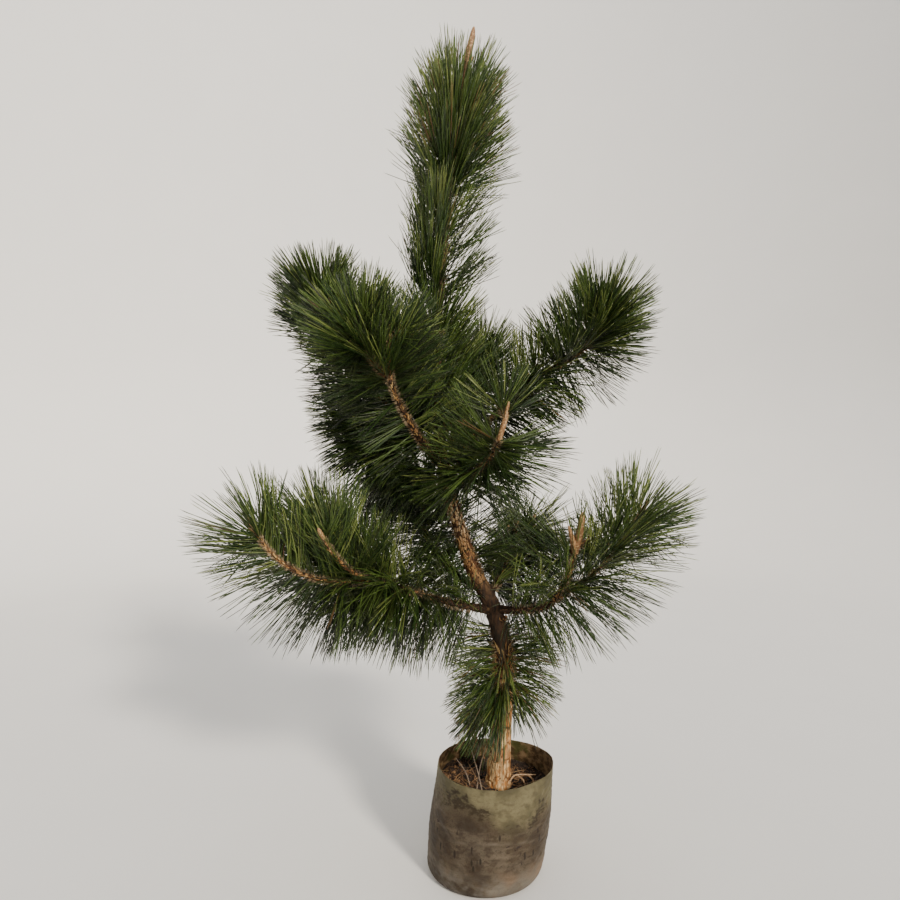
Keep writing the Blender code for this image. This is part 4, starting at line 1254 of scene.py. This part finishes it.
def scatter(count, dice, reach=LITTER_REACH):
    """Random places on the soil's top, clear of the trunk and thickest on the heaps of litter."""
    turn = dice.uniform(0.0, 2.0 * math.pi, count)
    share = np.sqrt(dice.uniform(0.0, reach ** 2, count))
    places = soil_place(turn, share)
    away = np.linalg.norm(places[:, :2] - TRUNK[0, 1:3], axis=1)
    cover = np.full(count, LITTER_COVER)
    for x, y, width in LITTER_HEAPS:
        cover += np.exp(-((places[:, 0] - x) ** 2 + (places[:, 1] - y) ** 2) / width ** 2)
    kept = (away > trunk_radius(SOIL_HEIGHT)[0] * LITTER_FROM_TRUNK) & (dice.uniform(size=count) < cover)
    return places[kept]


def make_litter(finishes):
    """Chips, crumbs and fallen needles, each kind with its own tones."""
    dice = np.random.default_rng(LITTER_SEED)
    pile = Pile()
    for count, sizes, flatness in (CHIPS, CRUMBS):
        places = scatter(count, dice)
        size = dice.uniform(*sizes, len(places))[:, None]
        heading = unit(dice.normal(size=(len(places), 3)) * (1.0, 1.0, 0.35))
        first, second = across(heading, dice.normal(size=(len(places), 3)) * (0.3, 0.3, 1.0))
        centres = places[:, None] + heading[:, None] * (size * CHIP_ENDS)[..., None]
        centres[..., 2] += LITTER_LIFT
        widths = size * dice.uniform(*CHIP_WIDTHS, (len(places), 3))
        point = heading * size * CHIP_POINT
        pile.add_rods(centres, (first, second * flatness), widths, LITTER_CORNERS,
                      (centres[:, 0] - point, centres[:, 2] + point), dice.integers(*CHIP_TONES, len(places)))
    add_fallen_needles(pile, dice)
    return pile.make("litter", finishes)


def add_fallen_needles(pile, dice):
    """Dry needles that lie on the soil, bent a little, and kept inside the bag."""
    middle = scatter(FALLEN_NEEDLES, dice, FALLEN_REACH)
    length = dice.uniform(*FALLEN_LENGTH, len(middle))
    turn = dice.uniform(0.0, 2.0 * math.pi, len(middle))
    heading = points_at(np.cos(turn), np.sin(turn), dice.uniform(*FALLEN_SLOPE, len(middle)))
    centre = np.array([BAG_LEAN * SOIL_HEIGHT / BAG_HEIGHT, 0.0])
    for end in (-0.5, 0.5):
        tips = middle + heading * (end * length)[:, None]
        over = np.linalg.norm(tips[:, :2] - centre, axis=1) / (BAG_RADIUS * FALLEN_WITHIN)
        length = np.where(over > 1.0, length / over ** 3, length)
    half = heading * (length / 2.0)[:, None]
    start, end = (middle + way + (0.0, 0.0, FALLEN_LIFT) for way in (-half, half))
    aside = np.cross(heading, (0.0, 0.0, 1.0))
    elbow = middle + aside * (length * dice.uniform(-FALLEN_ASIDE, FALLEN_ASIDE, len(middle)))[:, None]
    elbow[:, 2] += FALLEN_BOW
    stations = np.linspace(0.0, 0.9, len(FALLEN_TAPER))[:, None]
    centres = bezier(start[:, None], elbow[:, None], end[:, None], stations)
    pile.add_rods(centres, across(heading, (0.1, 0.2, 1.0)), FALLEN_HALF_WIDTH * FALLEN_TAPER, 3,
                  (start, end), dice.integers(*FALLEN_TONES, len(middle)))


# Dead stems that lean beside the trunk, a pale root that creeps over the soil, and cut stubs
STEMS = [
    [(-0.004, -0.040, 0.170), (-0.012, -0.036, 0.205), (-0.026, -0.030, 0.252)],
    [(-0.016, -0.034, 0.170), (-0.010, -0.030, 0.210), (0.004, -0.028, 0.262)],
    [(-0.028, -0.018, 0.172), (-0.038, -0.014, 0.200), (-0.058, -0.012, 0.228)],
]
STEM_RADII = (0.0015, 0.0008)
ROOTS = [
    [(0.046, -0.020, 0.170), (0.064, -0.008, 0.190), (0.086, -0.004, 0.190), (0.110, 0.002, 0.187)],
    [(0.070, -0.006, 0.189), (0.080, -0.020, 0.187), (0.086, -0.034, 0.176)],
    [(0.092, -0.003, 0.189), (0.100, -0.014, 0.186), (0.104, -0.024, 0.178)],
]
ROOT_RADII = (0.0022, 0.0011)
THREAD_ROWS = 24
THREAD_SIDES = 7
STUBS = [((-0.062, 0.012, 0.762), (-0.088, -0.004, 0.772), 0.0085),
         ((0.026, 0.004, 0.512), (0.046, -0.018, 0.520), 0.0050)]
STUB_ROWS = 24


def make_threads(name, lines, radii, finish):
    """Thin stems along smooth lines through their stations."""
    pile = Pile()
    for stations in lines:
        stations = np.array(stations)
        knots = along(stations)
        points = follow(np.linspace(0.0, knots[-1] * 0.999, THREAD_ROWS), knots, stations, smooth)
        add_limb(pile, points, np.linspace(*radii, THREAD_ROWS), THREAD_SIDES, bare_dress)
    return pile.make(name, [finish])


# Finishes
class Value:
    """What a node gives, on which sums can be written."""

    def __init__(self, finish, socket):
        self.finish = finish
        self.socket = socket

    def work(self, operation, first, second):
        return self.finish.node("ShaderNodeMath", {"operation": operation}, {0: first, 1: second})

    def __add__(self, other):
        return self.work("ADD", self, other)

    def __radd__(self, other):
        return self.work("ADD", other, self)

    def __sub__(self, other):
        return self.work("SUBTRACT", self, other)

    def __rsub__(self, other):
        return self.work("SUBTRACT", other, self)

    def __mul__(self, other):
        return self.work("MULTIPLY", self, other)

    def __rmul__(self, other):
        return self.work("MULTIPLY", other, self)

    def rise(self, low, high, most=1.0):
        """Goes smoothly from 0 to its most as this value goes from low to high."""
        return self.finish.node("ShaderNodeMapRange", {"interpolation_type": "SMOOTHSTEP"},
                                {"Value": self, "From Min": low, "From Max": high, "To Max": most})


def rgb(tint):
    """A colour as sockets take it. One that comes from a node stays as it is."""
    return tint if isinstance(tint, Value) else (*tint, 1.0)


class Finish:
    """A material, built node by node."""

    def __init__(self, name):
        self.material = bpy.data.materials.new(name)
        self.material.use_nodes = True
        self.tree = self.material.node_tree
        self.tree.nodes.clear()

    def node(self, kind, settings=(), sockets=(), output=0):
        """Adds a node: its settings first, then values or links for its sockets. Gives an output."""
        made = self.tree.nodes.new(kind)
        for name, value in dict(settings).items():
            setattr(made, name, value)
        for key, value in dict(sockets).items():
            if isinstance(value, Value):
                self.tree.links.new(value.socket, made.inputs[key])
            else:
                made.inputs[key].default_value = value
        return Value(self, made.outputs[output]) if made.outputs else made

    def place(self, stretch=(1.0, 1.0, 1.0)):
        """Object coordinates, stretched along each axis."""
        place = self.node("ShaderNodeTexCoord", output="Object")
        return self.node("ShaderNodeMapping", {}, {"Vector": place, "Scale": stretch})

    def noise(self, scale, detail=3.0, stretch=(1.0, 1.0, 1.0)):
        """Cloudy values from 0 to 1, so many to the metre."""
        return self.node("ShaderNodeTexNoise", {},
                         {"Vector": self.place(stretch), "Scale": scale, "Detail": detail})

    def cells(self, *many):
        """Distance to the nearest of scattered points, so many to the metre along each axis."""
        return self.node("ShaderNodeTexVoronoi", {}, {"Vector": self.place(many), "Scale": 1.0})

    def mark(self, name):
        """A value that the mesh carries."""
        return self.node("ShaderNodeAttribute", {"attribute_name": name}, output="Fac")

    def height(self):
        """Height above the ground in metres."""
        return self.node("ShaderNodeSeparateXYZ", {}, {0: self.place()}, "Z")

    def mix(self, share, first, second):
        """A share of the second colour in the first."""
        return self.node("ShaderNodeMix", {"data_type": "RGBA"}, {0: share, 6: rgb(first), 7: rgb(second)}, 2)

    def coat(self, base, *coats):
        """Coats over a colour in turn: each a tint, and the value and rise by which it covers the last."""
        for tint, value, *rise in coats:
            base = self.mix(value.rise(*rise), base, tint)
        return base

    def done(self, colour, roughness, relief=None, depth=0.001, gloss=0.5):
        """Closes the material with its shader, whose bump lifts the relief by its depth in metres."""
        sockets = {"Base Color": rgb(colour), "Roughness": roughness, "Specular IOR Level": gloss}
        if relief is not None:
            sockets["Normal"] = self.node("ShaderNodeBump", {}, {"Height": relief, "Distance": depth})
        shader = self.node("ShaderNodeBsdfPrincipled", {}, sockets)
        self.node("ShaderNodeOutputMaterial", {}, {"Surface": shader})
        return self.material


# Dry wood, sheaths and chips: their dark and their light tone
WOODS = {
    "scale_brown": ((0.062, 0.026, 0.009), (0.160, 0.074, 0.025)),
    "scale_tan": ((0.240, 0.116, 0.032), (0.450, 0.245, 0.074)),
    "scale_pale": ((0.420, 0.255, 0.090), (0.620, 0.430, 0.185)),
    "sheath_paper": ((0.120, 0.085, 0.045), (0.330, 0.250, 0.150)),
    "chip_dark": ((0.020, 0.010, 0.005), (0.060, 0.028, 0.012)),
    "chip_brown": ((0.045, 0.020, 0.008), (0.120, 0.056, 0.022)),
    "chip_tan": ((0.090, 0.044, 0.017), (0.260, 0.140, 0.060)),
    "fallen_brown": ((0.210, 0.100, 0.040), (0.330, 0.180, 0.080)),
    "fallen_straw": ((0.260, 0.150, 0.065), (0.400, 0.260, 0.130)),
    "stem_grey": ((0.150, 0.110, 0.080), (0.300, 0.230, 0.170)),
    "root_pale": ((0.290, 0.170, 0.090), (0.500, 0.350, 0.210)),
}
SCALE_WOODS = ("scale_brown", "scale_tan", "scale_pale")
LITTER_WOODS = ("chip_dark", "chip_brown", "chip_tan", "fallen_brown", "fallen_straw")


def wood_finish(name, scale=420.0):
    """One of the woods: its two tones in clouds, with a fine grain."""
    dark, light = WOODS[name]
    finish = Finish(name)
    grain = finish.noise(scale * 5.0, 2.0)
    colour = finish.coat(dark, (light, finish.noise(scale) + 0.3 * grain, 0.45, 0.85))
    return finish.done(colour, 0.75, grain, 0.0004)


def bark_finish():
    """Bark: dark fissures, plates from cream to orange brown, paler and warmer at the trunk's foot,
    and scales in tans and browns on younger wood, each with its own luck. The plates carry painted
    light: painted sunlight in cream and orange at the foot and faintly higher up the stem, and a near
    black painted shade over the dark bark above the foot."""
    finish = Finish("pine_bark")
    height, luck, young = (finish.mark(name) for name in ("height", "luck", "young"))
    tall = finish.height()
    streaks = finish.noise(300.0, 5.0, (1.0, 1.0, 0.14))
    grain = finish.noise(1500.0, 2.0, (1.0, 1.0, 0.4))
    mottle = finish.noise(150.0, 4.0, (1.0, 1.0, 0.45))
    patches = finish.noise(24.0, 2.0)
    flakes = (finish.cells(150.0, 150.0, 36.0) + 0.5 * streaks).rise(0.95, 0.55)
    # Painted light: this share gives the plates their sunlit colour, fully at the foot and a quarter of it
    # higher up the stem; elsewhere they take a near black painted shade over dark bark
    warm_bark_and_painted_sun = tall.rise(0.46, 0.28) + tall.rise(0.59, 0.66) * tall.rise(0.92, 0.84, 0.25)
    dark_bark_and_painted_shade = finish.coat((0.006, 0.004, 0.003),
                            ((0.024, 0.016, 0.010), luck * 0.55 + streaks * 1.30, 0.60, 1.30))
    lit = finish.coat((0.450, 0.190, 0.056),
                      ((0.790, 0.550, 0.280), mottle + 0.25 * luck + 0.25 * streaks, 0.64, 0.90))
    plate = finish.mix(warm_bark_and_painted_sun, dark_bark_and_painted_shade, lit)
    russet = patches.rise(0.52, 0.66) * (0.03 + 0.42 * warm_bark_and_painted_sun)
    plate = finish.mix(russet, plate, (0.230, 0.100, 0.045))
    plate = finish.mix(flakes, finish.mix(0.55, plate, (0.070, 0.034, 0.014)), plate)
    # Fissures, painted lighter and warmer at the sunlit foot
    old = finish.coat((0.026, 0.014, 0.007),
                      ((0.120, 0.052, 0.020), tall, 0.34, 0.24),
                      (plate, height + 0.3 * streaks, 0.15, 0.65))
    scale = finish.coat((0.058, 0.026, 0.011),
                        ((0.420, 0.235, 0.098), luck + 0.3 * streaks, 0.32, 0.86),
                        ((0.540, 0.330, 0.120), luck, 0.84, 0.92),
                        ((0.120, 0.046, 0.016), patches, 0.46, 0.60, 0.6))
    pale = finish.coat((0.350, 0.185, 0.082), ((0.700, 0.530, 0.320), streaks, 0.38, 0.62))
    crown = tall.rise(0.655, 0.715) * tall.rise(0.90, 0.78)
    scale = finish.mix(crown * (luck + 0.5 * streaks).rise(0.42, 0.80), scale, pale)
    scale = finish.coat((0.022, 0.011, 0.005), (scale, height, 0.15, 0.75))
    relief = streaks * 0.6 + flakes * 0.3 + grain * 0.2
    # Where painted shade lowers the young mark, the bark takes the darker old tones
    return finish.done(finish.mix(young, old, scale), 0.62 + 0.30 * streaks, relief, 0.0016, gloss=0.25)


def candle_finish():
    """Winter buds: tan scales with dark gaps and pale fringes at their ends."""
    finish = Finish("bud_scales")
    height, luck = finish.mark("height"), finish.mark("luck")
    grain = finish.noise(1800.0, 2.0, (1.0, 1.0, 0.3))
    scale = finish.coat((0.380, 0.215, 0.095), ((0.470, 0.300, 0.145), luck + 0.3 * grain, 0.3, 0.9))
    colour = finish.coat((0.230, 0.115, 0.046),
                         (scale, height, 0.02, 0.30),
                         ((0.520, 0.370, 0.205), height + 0.25 * grain, 0.95, 1.10, 0.6))
    return finish.done(colour, 0.6, grain, 0.0005)


def bag_finish():
    """Weathered bag: an olive band above the waterline, a brown tide mark with blotches under it,
    and grey brown below with pale streaks, rubbed creases and short slits. Tan and mossy inside."""
    finish = Finish("weathered_bag")
    band, height = finish.mark("band"), finish.height()
    clouds = finish.noise(22.0, 5.0)
    blotches = finish.noise(70.0, 4.0, (1.0, 1.0, 1.6))
    streaks = finish.noise(30.0, 5.0, (0.5, 0.5, 2.6))
    patches = finish.noise(13.0, 3.0, (1.0, 1.0, 1.3))
    runs = finish.noise(60.0, 3.0, (1.0, 1.0, 0.18))
    grit = finish.noise(520.0, 3.0)
    upper = finish.coat((0.072, 0.062, 0.031),
                        ((0.142, 0.123, 0.067), clouds, 0.35, 0.65),
                        ((0.066, 0.062, 0.031), runs, 0.50, 0.68, 0.30),
                        ((0.048, 0.038, 0.019), blotches, 0.46, 0.68, 0.50),
                        ((0.040, 0.034, 0.018), grit, 0.58, 0.68, 0.35))
    lower = finish.coat((0.030, 0.021, 0.013),
                        ((0.062, 0.045, 0.028), clouds, 0.35, 0.65),
                        ((0.108, 0.086, 0.060), patches, 0.46, 0.60, 0.60),
                        ((0.150, 0.120, 0.085), streaks, 0.56, 0.70, 0.30),
                        ((0.016, 0.010, 0.006), grit, 0.52, 0.66, 0.55),
                        ((0.020, 0.012, 0.006), blotches, 0.46, 0.68, 0.55))
    lower = finish.mix(finish.mark("rubbed") * 0.45, lower, (0.200, 0.172, 0.130))
    grey = height.rise(0.060, 0.020) * (patches + 0.5 * blotches).rise(0.58, 0.86, 0.60)
    lower = finish.mix(grey, lower, (0.150, 0.135, 0.112))
    edge = band + 0.050 * blotches + 0.040 * clouds - 0.045
    ragged = finish.noise(120.0, 4.0, (1.0, 1.0, 2.0)) + 0.35 * patches + 0.30 * finish.mark("stain")
    tide = edge.rise(-0.022, -0.009) * edge.rise(0.012, 0.000)
    tide = tide * ragged.rise(0.68, 0.94, 0.84)
    shade = band.rise(-0.060, -0.020) * band.rise(0.010, -0.012, 0.22)
    slits = finish.cells(84.0, 84.0, 26.0).rise(0.25, 0.16, 0.90)
    slits = slits * height.rise(0.138, 0.124) * height.rise(0.052, 0.062)
    orange = finish.noise(9.0, 2.0).rise(0.56, 0.66) * height.rise(0.07, 0.0, 0.55)
    colour = finish.coat(lower, (upper, edge, -0.034, 0.024))
    for share, tint in ((tide, (0.012, 0.007, 0.003)), (shade, (0.040, 0.028, 0.014)),
                        (slits, (0.012, 0.009, 0.006)), (orange, (0.190, 0.090, 0.034))):
        colour = finish.mix(share, colour, tint)
    inner = finish.coat((0.070, 0.043, 0.020),
                        ((0.210, 0.140, 0.075), blotches, 0.40, 0.62),
                        ((0.050, 0.060, 0.014), clouds, 0.52, 0.60, 0.70))
    colour = finish.coat(colour, (inner, finish.mark("within"), 0.35, 0.65))
    relief = streaks * 0.5 + blotches * 0.25 + grit * 0.15
    return finish.done(colour, 0.46 + 0.30 * clouds + 0.12 * grit, relief, 0.0016, gloss=0.22)


def soil_finish():
    """Potting mix: brown crumbs with dark gaps between them."""
    finish = Finish("potting_mix")
    crumbs = finish.cells(260.0, 260.0, 260.0)
    clods = finish.noise(70.0, 5.0)
    colour = finish.coat((0.012, 0.007, 0.004),
                         ((0.055, 0.029, 0.013), clods, 0.35, 0.65),
                         ((0.018, 0.010, 0.006), crumbs, 0.35, 0.65))
    return finish.done(colour, 0.9, clods - crumbs, 0.0022)


def floor_finish():
    """The studio's pale floor."""
    finish = Finish("studio_floor")
    return finish.done(finish.mix(finish.noise(3.0, 2.0), (0.780, 0.772, 0.755), (0.810, 0.802, 0.785)), 0.8)


# The studio: a wide bowl, its sky and its light
STAGE_RADIUS = 5.2
STAGE_CURVE = 1.8
STAGE_WALL = 7.5
STAGE_SIDES = 96
FLOOR_ROWS = 12
CURVE_ROWS = 25
SKY_COLOUR = (0.80, 0.88, 1.00)
SKY_STRENGTH = 0.75
SUN_ANGLES = (62.0, 34.0)
SUN_SOFTNESS = 9.0
SUN_STRENGTH = 4.2
SUN_COLOUR = (1.00, 0.91, 0.78)


def make_stage(finish):
    """A floor that curves up into a wall: one profile of length turned round the upright axis."""
    flat = np.linspace(0.0, STAGE_RADIUS - STAGE_CURVE, FLOOR_ROWS)[1:]
    turn = math.pi / 2.0 * np.linspace(0.0, 1.0, CURVE_ROWS)[1:]
    reach = np.concatenate([flat, STAGE_RADIUS - STAGE_CURVE * (1.0 - np.sin(turn)), [STAGE_RADIUS]])
    rise = np.concatenate([0.0 * flat, STAGE_CURVE * (1.0 - np.cos(turn)), [STAGE_WALL]])
    around = full_turn(STAGE_SIDES)
    grid = points_at(reach[:, None] * np.cos(around), reach[:, None] * np.sin(around), rise[:, None])
    quads, fan, _ = ring_faces(len(reach), STAGE_SIDES)
    pile = Pile()
    pile.add(np.concatenate([grid.reshape(-1, 3), np.zeros((1, 3))]), [quads[:, ::-1], fan[:, ::-1]])
    return pile.make("studio_bowl", [finish])


def hang_light():
    """One broad warm light, far off to the right of the camera: tilted from straight down, and
    turned about the upright."""
    lamp = bpy.data.lights.new("key_light", "SUN")
    lamp.energy = SUN_STRENGTH
    lamp.angle = math.radians(SUN_SOFTNESS)
    lamp.color = SUN_COLOUR
    tilt, turn = (math.radians(angle) for angle in SUN_ANGLES)
    stand("key_light", lamp).rotation_euler = (tilt, 0.0, turn)


def set_camera():
    """The camera looks level along +Y; its lens gives the photograph's focal length in pixels."""
    eye = bpy.data.cameras.new("photo_view")
    eye.sensor_width = SENSOR
    eye.lens = FOCAL_PIXELS / PHOTO_PIXELS * SENSOR
    holder = stand("photo_view", eye)
    holder.location = CAMERA_PLACE
    holder.rotation_euler = (math.pi / 2.0, 0.0, 0.0)
    bpy.context.scene.camera = holder


def light_studio():
    """Pale sky all round, and the light."""
    world = bpy.data.worlds.new("studio_sky")
    world.use_nodes = True
    sky = world.node_tree.nodes["Background"]
    sky.inputs["Color"].default_value = rgb(SKY_COLOUR)
    sky.inputs["Strength"].default_value = SKY_STRENGTH
    bpy.context.scene.world = world
    hang_light()


def settle(piece, slot, *nodes):
    """Makes a piece ride on the tree and stand for its nodes, which it hides; its slot is not used."""
    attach(piece, "root")
    if nodes:
        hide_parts(*nodes)


def dress_limbs(limbs, shoots):
    """Bark for the trunk, the boughs and the twigs, loose scales on them, and their candles."""
    trunk, boughs, twigs, bracts, candles = (Pile() for _ in range(5))
    # shaded: mostly old, dark bark for the lowest boughs, as painted shade under the crown
    young, shaded = scaly_dress(1.0), scaly_dress(PAINTED_SHADE_BOUGH_YOUTH)
    stem = limbs["trunk"]
    painted_shade_from = PAINTED_SHADE_ABOVE[0] - TRUNK[0, 0]
    add_limb(trunk, *stem, TRUNK_SIDES, trunk_dress)
    add_bracts(bracts, stem, SCALY_FROM - TRUNK[0, 0], painted_shade_from, seed=1)
    # Darker loose scales up the leader: painted shade
    add_bracts(bracts, stem, painted_shade_from, along(stem.points)[-1], seed=3, bract=SHADED_SCALE)
    add_bracts(bracts, stem, *BRISTLY, seed=2, bract=BRISTLE)
    for seed, name in enumerate(BOUGHS, BOUGH_BRACT_SEEDS):
        limb = limbs[name]
        dress, bract = (shaded, SHADED_SCALE) if name in PAINTED_SHADE_BOUGHS else (young, LOOSE_SCALE)
        add_limb(boughs, *limb, BOUGH_SIDES, dress)
        add_bracts(bracts, limb, BOUGH_BRACTS_FROM, along(limb.points)[-1], seed, bract)
    for foot, tip, radius in STUBS:
        points = bend(foot, np.add(foot, tip) / 2.0, tip, STUB_ROWS)
        add_limb(boughs, points, np.full(STUB_ROWS, radius), BOUGH_SIDES, young)
    for seed, (name, growing) in enumerate(MASSES.items()):
        for number, twig in enumerate(growing):
            own = f"{name}.{number}"
            limb = limbs[own]
            candle = LONG_CANDLES.get(own, twig.candle)
            bare = along(limb.points)[-1] - (candle if candle > LEAST_CANDLE else 0.0)
            kept = along(limb.points) <= bare
            add_limb(twigs, limb.points[kept], limb.radii[kept], TWIG_SIDES, young)
            add_bracts(bracts, limb, TWIG_BRACTS_FROM, bare, TWIG_BRACT_SEEDS + 5 * seed + number)
    for shoot in shoots:
        if len(shoot.points) == SIDE_SHOOT_POINTS:
            add_limb(twigs, shoot.points, shoot.radii, SIDE_SHOOT_SIDES, young)
    add_candles(candles, limbs)
    bark = bark_finish()
    settle(trunk.make("trunk_bark", [bark]), "bark", "trunk")
    settle(boughs.make("bough_bark", [bark]), "bark", *(f"bough_{name}" for name in BOUGHS))
    settle(twigs.make("twig_bark", [bark]), "bark")
    settle(bracts.make("loose_scales", [wood_finish(name) for name in SCALE_WOODS]), "bark")
    settle(candles.make("candles", [candle_finish()]), "bark")


def dress_needles(limbs, shoots):
    """One piece of needles for each mass, and the sheaths of them all."""
    tones = [Finish(name).done(colour, NEEDLE_ROUGHNESS, gloss=NEEDLE_GLOSS)
             for name, colour in NEEDLE_TONES.items()]
    sheaths = Pile()
    for mass in [*MASSES, *SLEEVES]:
        pile = Pile()
        for shoot in shoots:
            if shoot.mass == mass:
                add_needles(pile, sheaths, shoot, limbs)
        settle(pile.make(f"spray_{mass}", tones), "needles", f"needles_{mass}")
    settle(sheaths.make("sheaths", [wood_finish("sheath_paper", 300.0)]), "needles")


def dress_pot():
    """The bag, its soil, and what lies and stands on the soil."""
    settle(make_bag(bag_finish()), "bag_plastic", "planter_bag")
    settle(make_soil(soil_finish()), "soil", "soil")
    settle(make_litter([wood_finish(name) for name in LITTER_WOODS]), "soil")
    settle(make_threads("dead_stems", STEMS, STEM_RADII, wood_finish("stem_grey")), "bark")
    settle(make_threads("surface_roots", ROOTS, ROOT_RADII, wood_finish("root_pale")), "bark")


tree_limbs = grow_limbs()
tree_shoots = grow_shoots(tree_limbs)
dress_limbs(tree_limbs, tree_shoots)
dress_needles(tree_limbs, tree_shoots)
dress_pot()
stage = make_stage(floor_finish())
stage.visible_shadow = False
light_studio()
set_camera()
